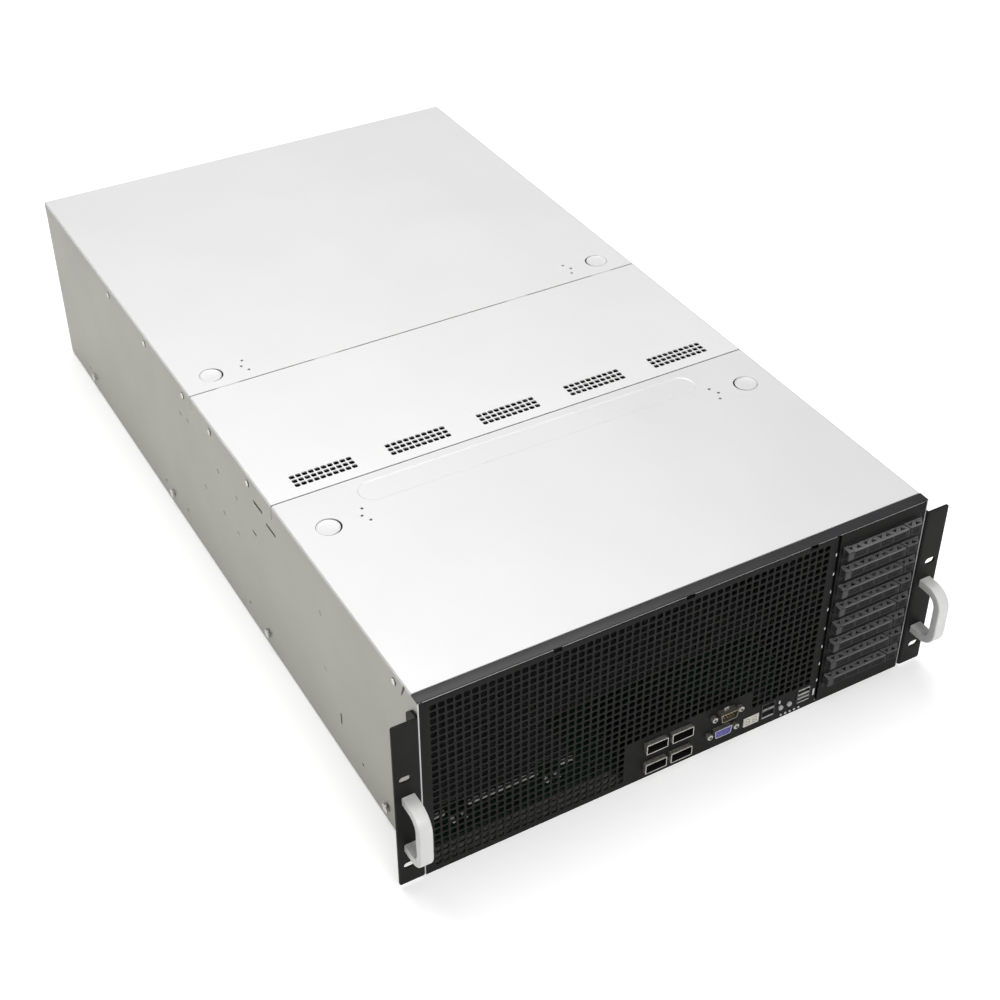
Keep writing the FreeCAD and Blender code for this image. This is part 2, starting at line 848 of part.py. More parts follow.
def rack_ear(side, label):
    ear = body(label)
    tip = ear_tip
    plan = sketch(ear, "XY_Plane", size.ear_base)
    points = [
        (case_half, -size.ear_gauge), (tip, -size.ear_gauge), (tip, 0), (case_half + size.ear_gauge, 0),
        (case_half + size.ear_gauge, size.ear_flange_depth), (case_half, size.ear_flange_depth),
    ]
    outline(plan, [(side * x, y) for x, y in points])
    pad(ear, plan, ear_height)

    # The top corner of the flange is cut off at a slant.
    corner = sketch(ear, "YZ_Plane")
    ear_top = size.ear_base + ear_height
    back = size.ear_flange_depth
    slant = size.ear_corner_cut
    outline(corner, [
        (back - slant, ear_top), (back - slant, ear_top + 1), (back + 1, ear_top + 1),
        (back + 1, ear_top - slant), (back, ear_top - slant),
    ])
    pocket(ear, corner)

    # Two slots for the rack screws
    slots = sketch(ear, "XZ_Plane")
    for z in (size.rack_hole_low, size.rack_hole_low + size.rack_hole_rise):
        long_hole(slots, side * rack_hole_x, z, size.rack_slot_length, size.rack_slot_width)
    pocket(ear, slots)
    bend_x = side * case_half.number
    bend_y = -size.ear_gauge.number
    fillet_edges(ear, size.ear_bend_radius, lambda edge: is_upright(edge, bend_x, bend_y))
    node(ear, label)


def is_upright(edge, x, y):
    ends = [vertex.Point for vertex in edge.Vertexes]
    return len(ends) == 2 and all(abs(end.x - x) < 0.01 and abs(end.y - y) < 0.01 for end in ends)


def runs_along_x(edge, y, z):
    ends = [vertex.Point for vertex in edge.Vertexes]
    return len(ends) == 2 and all(abs(end.y - y) < 0.01 and abs(end.z - z) < 0.01 for end in ends)


def handle(side, label):
    bow = body(label, x=side * handle_x - size.handle_width / 2)
    front = -size.handle_reach
    foot = -size.ear_gauge
    low = size.handle_low
    high = size.handle_high
    thick = size.handle_thick
    outer = sketch(bow, "YZ_Plane")
    rectangle(outer, (front, foot), (low, high))
    pad(bow, outer, size.handle_width)
    fillet_edges(bow, size.handle_bend, lambda edge: (
        runs_along_x(edge, front.number, low.number) or runs_along_x(edge, front.number, high.number)
    ))
    inner = sketch(bow, "YZ_Plane")
    rectangle(inner, (front + thick, foot + 1), (low + thick, high - thick))
    pocket(bow, inner)
    corner_y = (front + thick).number
    fillet_edges(bow, size.handle_bend - thick, lambda edge: (
        runs_along_x(edge, corner_y, (low + thick).number) or runs_along_x(edge, corner_y, (high - thick).number)
    ))
    width = size.handle_width.number
    bevel_edges(bow, size.handle_edge, lambda edge: (
        min(abs(edge.BoundBox.XMin), abs(edge.BoundBox.XMin - width)) < 0.01
        and edge.BoundBox.XLength < 0.01
        and edge.BoundBox.YMax < foot.number - 0.01 + 0.01
        and edge.BoundBox.YMin < foot.number - 0.5
    ))
    node(bow, label)


def handle_screws():
    screws = []
    inset = size.handle_thick / 2
    for side in (-1, 1):
        for z in (size.handle_low + inset, size.handle_high - inset):
            centre = (side * handle_x, z)
            screws.append(peg("handle_screw", "y", centre, size.handle_screw_radius, (0, size.handle_screw_head)))
    node(group("handle_screw_set", screws), "handle_screws")


def rail_studs():
    studs = []
    for side in (-1, 1):
        for index in range(4):
            centre = (size.stud_first_y + index * stud_pitch, size.stud_height)
            neck = mirrored_x(side, (case_half, case_half + size.stud_reach))
            head = mirrored_x(side, (case_half + size.stud_reach - 1.2, case_half + size.stud_reach))
            studs.append(fuse("rail_stud", [
                peg("stud_neck", "x", centre, size.stud_neck_radius, neck),
                peg("stud_head", "x", centre, size.stud_head_radius, head, 12),
            ]))
    node(group("rail_stud_set", studs), "rail_studs")


# Drive bay


def tray_top(index):
    return bay_top - index * tray_pitch


def drive_bay_frame():
    frame = body("drive_bay_frame")
    left = panel_right + 0.4
    plate = sketch(frame, "XZ_Plane")
    rectangle(plate, (left, panel_half), (floor, panel_top))
    bottom = tray_top(int(size.tray_count.number))
    rectangle(plate, (bay_left, bay_right), (bottom, bay_top))
    pad(frame, plate, size.panel_gauge, reverse=True)
    fold = sketch(frame, "XZ_Plane", -size.panel_gauge)
    rectangle(fold, (left, panel_half), (panel_top - size.panel_gauge, panel_top))
    pad(frame, fold, size.panel_return, reverse=True)
    node(frame, "drive_bay_frame")


def drive_cage():
    front = size.panel_gauge + 0.6
    back = front + size.cage_depth
    low = tray_top(int(size.tray_count.number)) - 2
    high = bay_top + 2
    gauge = 1.0
    left = bay_left - gauge
    parts = [
        box("cage_left", (left, bay_left), (front, back), (low, high)),
        box("cage_right", (bay_right, bay_right + 0.8), (front, back), (low, high)),
        box("cage_top", (left, bay_right + 0.8), (front, back), (high - gauge, high)),
        box("cage_floor", (left, bay_right + 0.8), (front, back), (low, low + gauge)),
        box("cage_foot", (left, left + 8), (front, back), (floor, low)),
    ]
    for index in range(1, 9):
        middle = tray_top(index)
        ends = (middle - size.guide_height / 2, middle + size.guide_height / 2)
        y_ends = (front, front + size.rail_length)
        parts.append(box("guide", (bay_left, bay_left + size.guide_width), y_ends, ends))
        parts.append(box("guide", (bay_right - size.guide_width, bay_right), y_ends, ends))
    node(fuse("cage_sheet", parts), "drive_cage")


def drive_y_ends():
    start = size.tray_face + 8
    return start, start + size.drive_length


def drive_backplane():
    back = drive_y_ends()[1] + size.slide_gap
    connector_back = back + 8
    low = tray_top(int(size.tray_count.number)) + 0.5
    parts = [box(
        "backplane_board",
        (bay_left + 0.3, bay_right - 0.3),
        (connector_back, connector_back + 2.4),
        (low, bay_top - 0.5),
    )]
    middle = (bay_left + bay_right) / 2
    for index in range(8):
        centre = tray_top(index + 1) + tray_pitch / 2
        parts.append(box(
            "backplane_socket", (middle - 17, middle + 17), (back, connector_back), (centre - 2.6, centre + 2.6),
        ))
    node(fuse("backplane", parts), "drive_backplane")


def lever_axis():
    return bay_left + 3.4, -(size.hinge_radius + size.slide_gap)


def lever_ends():
    # Ends of the lever at its root, along X.
    start = lever_axis()[0]
    return start, start + size.lever_length - 3


def drive_tray(index):
    label = f"drive_tray_{index + 1}"
    top = tray_top(index)
    left = bay_left + size.tray_gap
    right = bay_right - size.tray_gap
    low = top - tray_pitch + size.tray_gap / 2
    carrier = body(label + "_carrier")
    face = sketch(carrier, "XZ_Plane")
    rectangle(face, (left, right), (low, top - size.tray_gap / 2))
    pad(carrier, face, size.tray_face, reverse=True)

    # Side rails between the guides of the cage, joined by a bar at the back
    rail_low = top - tray_pitch + size.guide_height / 2 + size.slide_gap
    rail_high = rail_low + size.rail_height
    middle = (bay_left + bay_right) / 2
    drive_half = size.drive_width / 2
    rails = sketch(carrier, "XZ_Plane", -size.tray_face)
    rectangle(rails, (left, middle - drive_half - 0.1), (rail_low, rail_high))
    rectangle(rails, (middle + drive_half + 0.1, right), (rail_low, rail_high))
    pad(carrier, rails, size.rail_length - size.tray_face, reverse=True)

    # The fixed end of the front, which the lever closes against
    z_low = top - size.lever_top - size.lever_height
    start = lever_ends()[1] + size.lever_end_gap
    end = right
    catch = sketch(carrier, "XY_Plane", z_low)
    reach = size.lever_reach
    outline(catch, [
        (start, 0), (end, 0), (end - size.catch_slant, -reach), (start + size.lever_slant, -reach),
    ])
    pad(carrier, catch, size.lever_height)
    truss = sketch(carrier, "XY_Plane", top)
    triangles(truss, start + 4.8, 6.4, 2, True)
    pocket(carrier, truss, size.lever_top + 3)
    lever_slope(carrier, top)

    # Two lugs and a pin that carry the lever
    axis_x, axis_y = lever_axis()
    reach = -axis_y + size.hinge_radius
    lugs = sketch(carrier, "XY_Plane", z_low - size.slide_gap - size.lug_gauge)
    rectangle(lugs, (axis_x - size.hinge_radius, axis_x + size.hinge_radius), (-reach, 0))
    pad(carrier, lugs, size.lug_gauge)
    upper = sketch(carrier, "XY_Plane", top - size.lever_top + size.slide_gap)
    rectangle(upper, (axis_x - size.hinge_radius, axis_x + size.hinge_radius), (-reach, 0))
    pad(carrier, upper, size.lug_gauge)
    pin = sketch(carrier, "XY_Plane", z_low - size.slide_gap)
    flat_sided(pin, axis_x, axis_y, size.hinge_pin_radius, 8)
    pad(carrier, pin, size.lever_height + 2 * size.slide_gap)

    drive = box(
        label + "_drive",
        (middle - drive_half, middle + drive_half),
        drive_y_ends(),
        (rail_low + 0.5, rail_low + 0.5 + size.drive_height),
    )
    node(group(label + "_set", [carrier, drive]), label)


def triangles(made, first, spacing, count, wide_back):
    # Triangles in a row that point forward and back in turn, with slanted webs between them.
    half = size.truss_side / 2
    back = -size.truss_margin
    front = -size.lever_reach + size.truss_margin
    for index in range(count):
        centre = first + spacing * index
        broad, point = (back, front) if (index % 2 == 0) == wide_back else (front, back)
        outline(made, [(centre - half, broad), (centre + half, broad), (centre, point)])


def lever_slope(owner, top):
    # The upper face falls a little towards the front.
    root = top - size.lever_top
    slope = sketch(owner, "YZ_Plane")
    outline(slope, [
        (-size.slide_gap, root), (-size.lever_reach - 1, root - size.lever_drop),
        (-size.lever_reach - 1, root + 0.2), (-size.slide_gap, root + 0.2),
    ])
    pocket(owner, slope)


def tray_lever(index):
    label = f"tray_lever_{index + 1}"
    top = tray_top(index)
    z_low = top - size.lever_top - size.lever_height
    axis_x, axis_y = lever_axis()
    start, end = lever_ends()
    reach = size.lever_reach
    slant = size.lever_slant
    back = -size.slide_gap
    wall = size.lever_wall
    made = body(label)
    knuckle = sketch(made, "XY_Plane", z_low)
    flat_sided(knuckle, axis_x, axis_y, size.hinge_radius, 10)
    pad(made, knuckle, size.lever_height)
    plan = sketch(made, "XY_Plane", z_low)
    outline(plan, [(start, back), (end, back), (end + slant, -reach), (start - size.lever_nose, -reach)])
    pad(made, plan, size.lever_height)
    lever_slope(made, top)

    # Hollow from below and behind
    inside = sketch(made, "XY_Plane", z_low)
    outline(inside, [
        (start + size.hinge_radius + wall, back + 1), (end - wall, back + 1), (end - wall, back),
        (end - wall + slant * 0.6, -reach + wall), (start + size.hinge_radius + wall, -reach + wall),
    ])
    pocket(made, inside, size.lever_height - size.lever_drop - wall, reverse=True)

    # Seven triangles along the upper face, clear of the hinge
    truss = sketch(made, "XY_Plane", top)
    triangles(truss, end - 2.7 - size.truss_spacing * 6, size.truss_spacing, 7, False)
    pocket(made, truss, size.lever_top + size.lever_drop + wall + 0.4)

    bore = sketch(made, "XY_Plane", z_low)
    circle(bore, axis_x, axis_y, size.hinge_pin_radius + size.hinge_play)
    pocket(made, bore)
    node(made, label)


# Front connectors


def network_places():
    places = []
    for column in (-0.5, 0.5):
        for row in (0, 1):
            places.append((
                network_centre_x + column * size.network_pitch_x,
                size.network_low_z + row * size.network_pitch_z,
            ))
    return places


def network_cages():
    half_wide = size.network_width / 2
    half_high = size.network_height / 2
    places = network_places()
    behind = size.panel_gauge + size.slide_gap
    back = size.network_length - size.network_reach
    necks = []
    sockets = []
    for x, z in places:
        necks.append(box(
            "cage_neck", (x - half_wide, x + half_wide), (-size.network_reach, back), (z - half_high, z + half_high),
        ))
        wall = size.network_wall
        sockets.append(box(
            "cage_socket",
            (x - half_wide + wall, x + half_wide - wall),
            (-size.network_reach - 1, back - 6),
            (z - half_high + wall, z + half_high - wall),
        ))
    block = box(
        "cage_block",
        (places[0][0] - half_wide, places[2][0] + half_wide),
        (behind, back),
        (board_top, places[1][1] + half_high),
    )
    node(cut("network_cage_set", fuse("cage_necks", necks + [block]), sockets), "network_cages")


def d_outline(made, x, z, grow):
    half_wide = size.connector_width / 2 + grow
    half_high = size.connector_height / 2 + grow
    outline(made, [
        (x - half_wide + size.connector_slant, z - half_high), (x + half_wide - size.connector_slant, z - half_high),
        (x + half_wide, z + half_high), (x - half_wide, z + half_high),
    ])


def d_connector(name, x, z, reach, recess, low):
    # A shell with slanted ends in front of the panel, and its block behind it.
    made = body(name)
    behind = size.panel_gauge + size.slide_gap
    shell = sketch(made, "XZ_Plane", reach)
    d_outline(shell, x, z, 0)
    pad(made, shell, reach + behind, reverse=True)
    block = sketch(made, "XZ_Plane", -behind)
    rectangle(block, (x - 15.4, x + 15.4), (low, z + 6))
    pad(made, block, size.socket_block_depth, reverse=True)
    opening = sketch(made, "XZ_Plane", reach)
    d_outline(opening, x, z, -0.9)
    pocket(made, opening, recess)
    return made


def serial_port():
    low = size.video_z + 6 + 0.3
    made = d_connector("serial_port", serial_x, size.serial_z, size.serial_reach, size.serial_reach - 0.5, low)
    node(made, "serial_port")


def video_port():
    made = d_connector("video_port", video_x, size.video_z, size.video_reach, 0.6, board_top)
    node(made, "video_port")


def port_jackscrews():
    jacks = []
    start = size.jack_reach
    for x, z in ((serial_x, size.serial_z), (video_x, size.video_z)):
        for side in (-0.5, 0.5):
            centre = (x + side * size.jack_span, z)
            jacks.append(cut(
                "jackscrew",
                peg("jack", "y", centre, size.jack_radius, (-start, 0)),
                [peg("jack_bore", "y", centre, size.jack_bore_radius, (-start - 1, -1), 8)],
            ))
    node(group("jackscrew_set", jacks), "port_jackscrews")


def stacked_ports():
    stacks = []
    behind = size.panel_gauge + size.slide_gap
    wall = size.stack_wall
    middle = (size.stack_low + size.stack_high) / 2
    for name, x, height in (("lan", lan_x, 6.2), ("usb", usb_x, 5.1)):
        half = size.stack_width / 2
        shell = box(name + "_neck", (x - half, x + half), (-0.6, behind + size.stack_depth), (size.stack_low, size.stack_high))
        foot = box(name + "_foot", (x - half, x + half), (behind + 1, behind + size.stack_depth), (board_top, size.stack_low))
        sockets = []
        for centre in ((size.stack_low + middle) / 2, (middle + size.stack_high) / 2):
            sockets.append(box(
                name + "_socket",
                (x - half + wall, x + half - wall),
                (-2, size.stack_depth - 3),
                (centre - height / 2, centre + height / 2),
            ))
        stacks.append(cut(name + "_stack", fuse(name + "_shell", [shell, foot]), sockets))
    node(group("port_stacks", stacks), "stacked_ports")


def code_display():
    half = size.display_width / 2
    height = size.display_height / 2
    display = box(
        "code_display",
        (display_x - half, display_x + half),
        (-0.4, size.board_front),
        (size.display_z - height, size.display_z + height),
    )
    node(display, "code_display")


def front_button(x, label):
    made = body(label, x=x, z=size.button_z)
    cap = sketch(made, "XZ_Plane", size.button_reach)
    circle(cap, 0, 0, size.button_radius)
    pad(made, cap, size.button_reach + size.button_length, reverse=True)
    node(made, label)


def status_lights():
    lights = []
    for index in range(5):
        centre = (panel_right - size.light_from_edge + index * size.light_pitch, size.light_z)
        lights.append(peg("light_pipe", "y", centre, size.light_radius, (-0.3, 6), 8))
    node(group("light_pipe_set", lights), "status_lights")


# Main board


def motherboard():
    plate = box(
        "board_plate",
        (board_left, board_right),
        (size.board_front, size.board_back),
        (size.board_base, board_top),
    )
    parts = [plate]
    y_ends = (size.processor_y - 29, size.processor_y + 29)
    for middle in sink_places:
        parts.append(box("processor", (middle - 28, middle + 28), y_ends, (board_top, board_top + 5)))
    for x in module_places():
        parts.append(box(
            "module_socket", (x - 3.2, x + 3.2), (module_y() - 4, module_y() + size.module_length + 4),
            (board_top, board_top + 3),
        ))
    node(fuse("board", parts), "motherboard")


def module_places():
    # As many modules on each side of a heat sink as its half of the board has room for
    room = (board_quarter - size.sink_width / 2 - size.module_first).number
    count = int(room / size.module_pitch.number)
    places = []
    for middle in sink_places:
        for side in (-1, 1):
            for step in range(count):
                places.append(middle + side * (size.sink_width / 2 + size.module_first + step * size.module_pitch))
    return places


def module_y():
    return size.processor_y - size.module_length / 2


def memory_modules():
    modules = []
    low = board_top + 3
    for x in module_places():
        half = size.module_gauge / 2
        modules.append(box(
            "memory_module", (x - half, x + half), (module_y(), module_y() + size.module_length),
            (low, low + size.module_height),
        ))
    node(group("memory_module_set", modules), "memory_modules")


def processor_heat_sinks():
    sinks = []
    low = board_top + 5
    for middle in sink_places:
        half = size.sink_width / 2
        y_ends = (size.processor_y - size.sink_length / 2, size.processor_y + size.sink_length / 2)
        parts = [box("sink_base", (middle - half, middle + half), y_ends, (low, low + 5))]
        spacing = (size.sink_width - size.sink_fin_gauge) / (size.sink_fins - 1)
        for index in range(int(size.sink_fins.number)):
            x = middle - half + index * spacing
            parts.append(box("sink_fin", (x, x + size.sink_fin_gauge), y_ends, (low + 5, low + size.sink_height)))
        sinks.append(fuse("heat_sink", parts))
    node(group("heat_sink_set", sinks), "processor_heat_sinks")


# Fans


def fan_x(index):
    return fan_pitch * (index - (size.fan_count - 1) / 2)


def fan_wall():
    front = size.fan_wall_front
    back = front + size.fan_depth + 4
    half = size.fan_count * fan_pitch / 2
    gauge = 1.0
    parts = [box("fan_floor", (-half - gauge, half + gauge), (front, back), (deck_top, deck_top + gauge))]
    for index in range(int(size.fan_count.number) + 1):
        x = fan_x(index) - fan_pitch / 2
        parts.append(box(
            "fan_divider", (x - gauge / 2, x + gauge / 2), (front, back), (deck_top, deck_top + fan_frame_height),
        ))
    node(fuse("fan_wall_sheet", parts), "fan_wall")


def fan_y_ends():
    start = size.fan_wall_front + 2
    return start, start + size.fan_depth


def fan_frames():
    frames = []
    start, end = fan_y_ends()
    half = fan_pitch / 2 - 0.5 - 0.3
    low = deck_top + 1.0 + 0.05
    for index in range(int(size.fan_count.number)):
        x = fan_x(index)
        shell = box("fan_shell", (x - half, x + half), (start, end), (low, deck_top + fan_frame_height))
        bore = rod("fan_bore", "y", (x, fan_axis_z), fan_bore, (start - 1, end + 1))
        ring = cut("fan_ring", shell, [bore])
        hub = peg("fan_seat", "y", (x, fan_axis_z), size.fan_hub, (end - 4, end), 12)
        arm = fan_bore + 1
        beam = box("fan_arm", (x - arm, x + arm), (end - 4, end - 1), (fan_axis_z - 2.5, fan_axis_z + 2.5))
        frames.append(fuse("fan_frame", [ring, hub, beam]))
    node(group("fan_frame_set", frames), "fan_frames")


def fan_rotor(index):
    label = f"fan_rotor_{index + 1}"
    back = fan_y_ends()[1] - 4 - size.slide_gap
    rotor = body(label, x=fan_x(index), y=back, z=fan_axis_z)
    hub = sketch(rotor, "XZ_Plane")
    flat_sided(hub, 0, 0, size.fan_hub, 14)
    pad(rotor, hub, size.fan_hub_length)
    boss = sketch(rotor, "XZ_Plane", size.fan_hub_length)
    circle(boss, 0, 0, size.fan_boss_radius)
    pad(rotor, boss, size.fan_boss_height)

    # One slanted blade, then the others round the hub
    blade = sketch(rotor, "YZ_Plane", size.fan_hub - 3)
    middle = -size.fan_hub_length / 2
    half_chord = size.blade_chord / 2
    half_rise = size.blade_rise / 2
    gauge = size.blade_gauge
    outline(blade, [
        (middle - half_chord, -half_rise), (middle - half_chord + gauge, -half_rise - gauge / 2),
        (middle + half_chord, half_rise - gauge / 2), (middle + half_chord - gauge, half_rise),
    ])
    tip = fan_bore - size.fan_tip_gap - 1.6
    vane = pad(rotor, blade, tip - size.fan_hub + 3)
    ring = rotor.newObject("PartDesign::PolarPattern", label + "_ring")
    ring.Originals = [vane]
    ring.Axis = (origin_feature(rotor, "Y_Axis"), [""])
    ring.Angle = 360
    bind(ring, "Occurrences", size.fan_blades)
    rotor.Tip = ring
    node(rotor, label)


# Accelerator cards


def card_y_ends():
    end = size.case_depth - size.panel_gauge - size.slide_gap
    return end - size.card_length, end


def accelerator_board():
    top = size.card_board_base + size.card_board_gauge
    half = inner_half - size.card_board_side_gap
    parts = [box("card_board", (-half, half), (size.card_board_front, size.case_depth - 10), (size.card_board_base, top))]
    start, end = card_y_ends()
    for index in range(8):
        x = card_x(index)
        parts.append(box("card_slot", (x - 4, x + 4), (end - 150, end - 60), (top, top + size.slot_height)))
    node(fuse("card_board_set", parts), "accelerator_board")


def accelerator_cards():
    cards = []
    start, end = card_y_ends()
    low = card_low
    half = size.card_width / 2
    vent_pitch = (card_height - 21) / 4
    for index in range(8):
        x = card_x(index)
        shell = box("card_shell", (x - half, x + half), (start, end - 1), (low, low + card_height))
        intake = box("card_intake", (x - half + 3, x + half - 3), (start - 1, start + 40), (low + 12, low + card_height - 13))
        bracket = box("card_bracket", (x - 20, x + 20), (end - 1, end), (low - 3, low + card_height + 2))
        vents = []
        for row in range(4):
            base = low + 12 + row * vent_pitch
            vents.append(box("card_vent", (x - 15, x + 15), (end - 25, end + 1), (base, base + vent_pitch - 6)))
        cards.append(cut("card", fuse("card_body", [shell, bracket]), [intake] + vents))
    node(group("card_set", cards), "accelerator_cards")


# Power supplies


def supply_y_ends():
    return size.case_depth - size.supply_length, size.case_depth


def power_cage():
    start, end = supply_y_ends()
    top = size.deck_base
    back = end - size.panel_gauge - size.panel_gap
    parts = []
    for index in range(5):
        x = size.supply_pitch * (index - 2)
        parts.append(box("cage_wall", (x - 0.6, x + 0.6), (start + 4, back), (floor, top)))
        parts.append(box("cage_flange", (x - 0.6, x + 2.8), (start + 4, back), (top - 1, top)))
    node(group("power_cage_set", [
        fuse("power_cage_wall", parts[2 * index:2 * index + 2]) for index in range(5)
    ]), "power_cage")


def power_board():
    start = supply_y_ends()[0]
    half = size.supply_pitch * 2 + 4
    parts = [box("power_board_plate", (-half, half), (start - 10, start - 8), (floor, size.deck_base - 0.3))]
    for index in range(4):
        x = supply_x(index)
        parts.append(box("power_socket", (x - 24, x + 24), (start - 8, start - size.slide_gap), (14, 24)))
    node(fuse("power_board_set", parts), "power_board")


def power_supply(index):
    label = f"power_supply_{index + 1}"
    x = supply_x(index)
    start, end = supply_y_ends()
    half = size.supply_width / 2
    split = end - 16
    middle = (supply_low + supply_high) / 2
    inlet_low = middle - size.inlet_height / 2
    inlet_high = middle + size.inlet_height / 2
    inlet_x = x + half - 6 - size.inlet_width
    inlet_end = inlet_x + size.inlet_width
    parts = [box(label + "_block", (x - half, x + half), (start, split), (supply_low, supply_high))]

    # The end with the fan's opening, and four walls round the inlet
    grille_x = x - half + size.supply_grille_inset
    face = box(label + "_face", (x - half, inlet_x), (split, end), (supply_low, supply_high))
    grille = peg(label + "_grille", "y", (grille_x, middle), size.supply_grille_radius, (end - 6, end + 1), 16)
    fan_hub = peg(label + "_hub", "y", (grille_x, middle), size.supply_hub_radius, (end - 6, end), 8)
    parts.append(fuse(label + "_fan_end", [cut(label + "_bored", face, [grille]), fan_hub]))
    parts.append(box(label + "_inlet_top", (inlet_x, x + half), (split, end), (inlet_high, supply_high)))
    parts.append(box(label + "_inlet_foot", (inlet_x, x + half), (split, end), (supply_low, inlet_low)))
    parts.append(box(label + "_inlet_side", (inlet_end, x + half), (split, end), (inlet_low, inlet_high)))
    for step in (-1, 0, 1):
        pin_x = inlet_x + size.inlet_width / 2 + 7 * step
        parts.append(box(label + "_pin", (pin_x - 1, pin_x + 1), (split, end - 8), (middle - 3, middle + 3)))
    bar = size.supply_handle_bar
    reach = end + size.rear_reach
    left = x - half + 2
    right = x - half + 38
    parts.append(box(label + "_grip", (left, right), (reach - bar, reach), (middle - 2, middle + 2)))
    parts.append(box(label + "_grip", (left, left + bar), (end, reach - bar), (middle - 2, middle + 2)))
    parts.append(box(label + "_grip", (right - bar, right), (end, reach - bar), (middle - 2, middle + 2)))
    parts.append(box(label + "_tab", (x + half - 5, x + half - 1), (end, end + 10), (middle - 7, middle + 7)))
    node(group(label + "_set", parts), label)


def build_all():
    chassis_tray()
    deck_plate()
    rear_panel()
    front_mesh_panel()
    front_top_strip()
    top_cover_front()
    top_cover_middle()
    top_cover_rear()
    for side, hand in ((-1, "left"), (1, "right")):
        rack_ear(side, "rack_ear_" + hand)
        handle(side, "handle_" + hand)
    handle_screws()
    rail_studs()
    drive_bay_frame()
    drive_cage()
    drive_backplane()
    for index in range(8):
        drive_tray(index)
        tray_lever(index)
    network_cages()
    serial_port()
    video_port()
    port_jackscrews()
    stacked_ports()
    code_display()
    front_button(panel_right - size.power_button_from_edge, "power_button")
    front_button(panel_right - size.identify_button_from_edge, "identify_button")
    status_lights()
    motherboard()
    processor_heat_sinks()
    memory_modules()
    fan_wall()
    fan_frames()
    for index in range(int(size.fan_count.number)):
        fan_rotor(index)
    accelerator_board()
    accelerator_cards()
    power_cage()
    power_board()
    for index in range(4):
        power_supply(index)


build_all()
doc.recompute()

for thing in doc.Objects:
    if "Invalid" in thing.State or "Error" in thing.State:
        raise RuntimeError(f"{thing.Label} did not build: {thing.State}")
for thing in nodes:
    if thing.Shape.isNull() or not thing.Shape.isValid():
        raise RuntimeError(f"{thing.Label} has no sound shape")
for thing in nodes:
    thing.Shape.exportStep(f"parts/{thing.Label}.step")
print(len(nodes), "pieces written")
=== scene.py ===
import math

import bmesh
import bpy
from mathutils import Euler, Matrix, Vector


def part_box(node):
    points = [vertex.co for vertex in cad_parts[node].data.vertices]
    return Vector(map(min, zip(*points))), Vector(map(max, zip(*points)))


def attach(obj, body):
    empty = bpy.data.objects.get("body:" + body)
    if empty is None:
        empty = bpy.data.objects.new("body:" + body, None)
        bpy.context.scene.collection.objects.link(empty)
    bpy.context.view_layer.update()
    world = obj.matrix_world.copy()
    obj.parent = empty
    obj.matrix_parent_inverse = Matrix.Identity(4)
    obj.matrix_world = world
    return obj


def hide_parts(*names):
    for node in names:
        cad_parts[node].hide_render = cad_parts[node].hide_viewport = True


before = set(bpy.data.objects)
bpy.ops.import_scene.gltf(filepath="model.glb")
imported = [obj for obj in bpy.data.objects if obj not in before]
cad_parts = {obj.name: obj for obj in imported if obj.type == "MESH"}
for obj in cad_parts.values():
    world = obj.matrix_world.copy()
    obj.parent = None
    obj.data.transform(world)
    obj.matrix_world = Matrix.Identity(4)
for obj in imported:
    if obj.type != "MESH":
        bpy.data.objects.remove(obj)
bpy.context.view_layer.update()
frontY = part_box("front_mesh_panel")[0].y  # front plane of the case
print("frame loaded")

# everything below is drawn in millimetres from the case's front plane and placed by finishPiece
toFrame = Matrix.Translation((0, frontY, 0)) @ Matrix.Diagonal((0.001, 0.001, 0.001, 1))
# and this stands a sheet that was drawn flat up, facing the front
upright = Matrix(((1, 0, 0, 0), (0, 0, -1, 0), (0, 1, 0, 0), (0, 0, 0, 1)))


# Finishes

def setInputs(node, values):
    # another node's output is linked, and anything else is set
    for key, value in values.items():
        if isinstance(value, bpy.types.NodeSocket):
            node.id_data.links.new(value, node.inputs[key])
        else:
            node.inputs[key].default_value = value


def addNode(nodes, kind, values, operation=None):
    made = nodes.new("ShaderNode" + kind)
    if operation:
        made.operation = operation
    setInputs(made, values)
    return made.outputs


def newFinish(name, wanted):
    made = bpy.data.materials.new(name)
    made.use_nodes = True
    nodes = made.node_tree.nodes
    # fine grain over broad clouds sets the tone, the gloss and the bumps
    grainShare = 0.4
    place = addNode(nodes, "TexCoord", {})["Object"]
    stretched = addNode(nodes, "Mapping", {"Vector": place, "Scale": wanted.get("stretch", (1, 1, 1))})[0]
    grain = {"Vector": stretched, "Scale": wanted["grain"], "Detail": 5, "Roughness": 0.6}
    fine = addNode(nodes, "TexNoise", grain)["Fac"]
    broad = addNode(nodes, "TexNoise", {"Vector": place, "Scale": wanted["cloud"], "Detail": 3})["Fac"]
    share = addNode(nodes, "Math", {0: broad, 1: 1 - grainShare}, "MULTIPLY")[0]
    both = addNode(nodes, "Math", {0: fine, 1: grainShare, 2: share}, "MULTIPLY_ADD")[0]
    tone = addNode(nodes, "ValToRGB", {"Fac": both})["Color"]
    for element, position, side in zip(tone.node.color_ramp.elements, (0.34, 0.66), ("dark", "light")):
        element.position = position
        element.color = (*wanted[side], 1)
    gloss, matt = wanted["rough"]
    spread = {"Value": fine, "From Min": 0.3, "From Max": 0.7, "To Min": gloss, "To Max": matt}
    rough = addNode(nodes, "MapRange", spread)
    depth = wanted.get("bumpDepth", 0.0001)
    bump = addNode(nodes, "Bump", {"Height": fine, "Strength": wanted.get("bump", 0.1), "Distance": depth})
    setInputs(nodes["Principled BSDF"], {
        "Base Color": tone, "Roughness": rough["Result"], "Normal": bump["Normal"], "Coat Roughness": 0.25,
        "Metallic": wanted.get("metallic", 0.0), "Coat Weight": wanted.get("coat", 0.0),
        "Specular IOR Level": wanted.get("shine", 0.5),
    })
    return made


def grey(level):
    return (level, level, level)


def look(base, dark, light, **more):
    return {**base, "dark": dark, "light": light, **more}


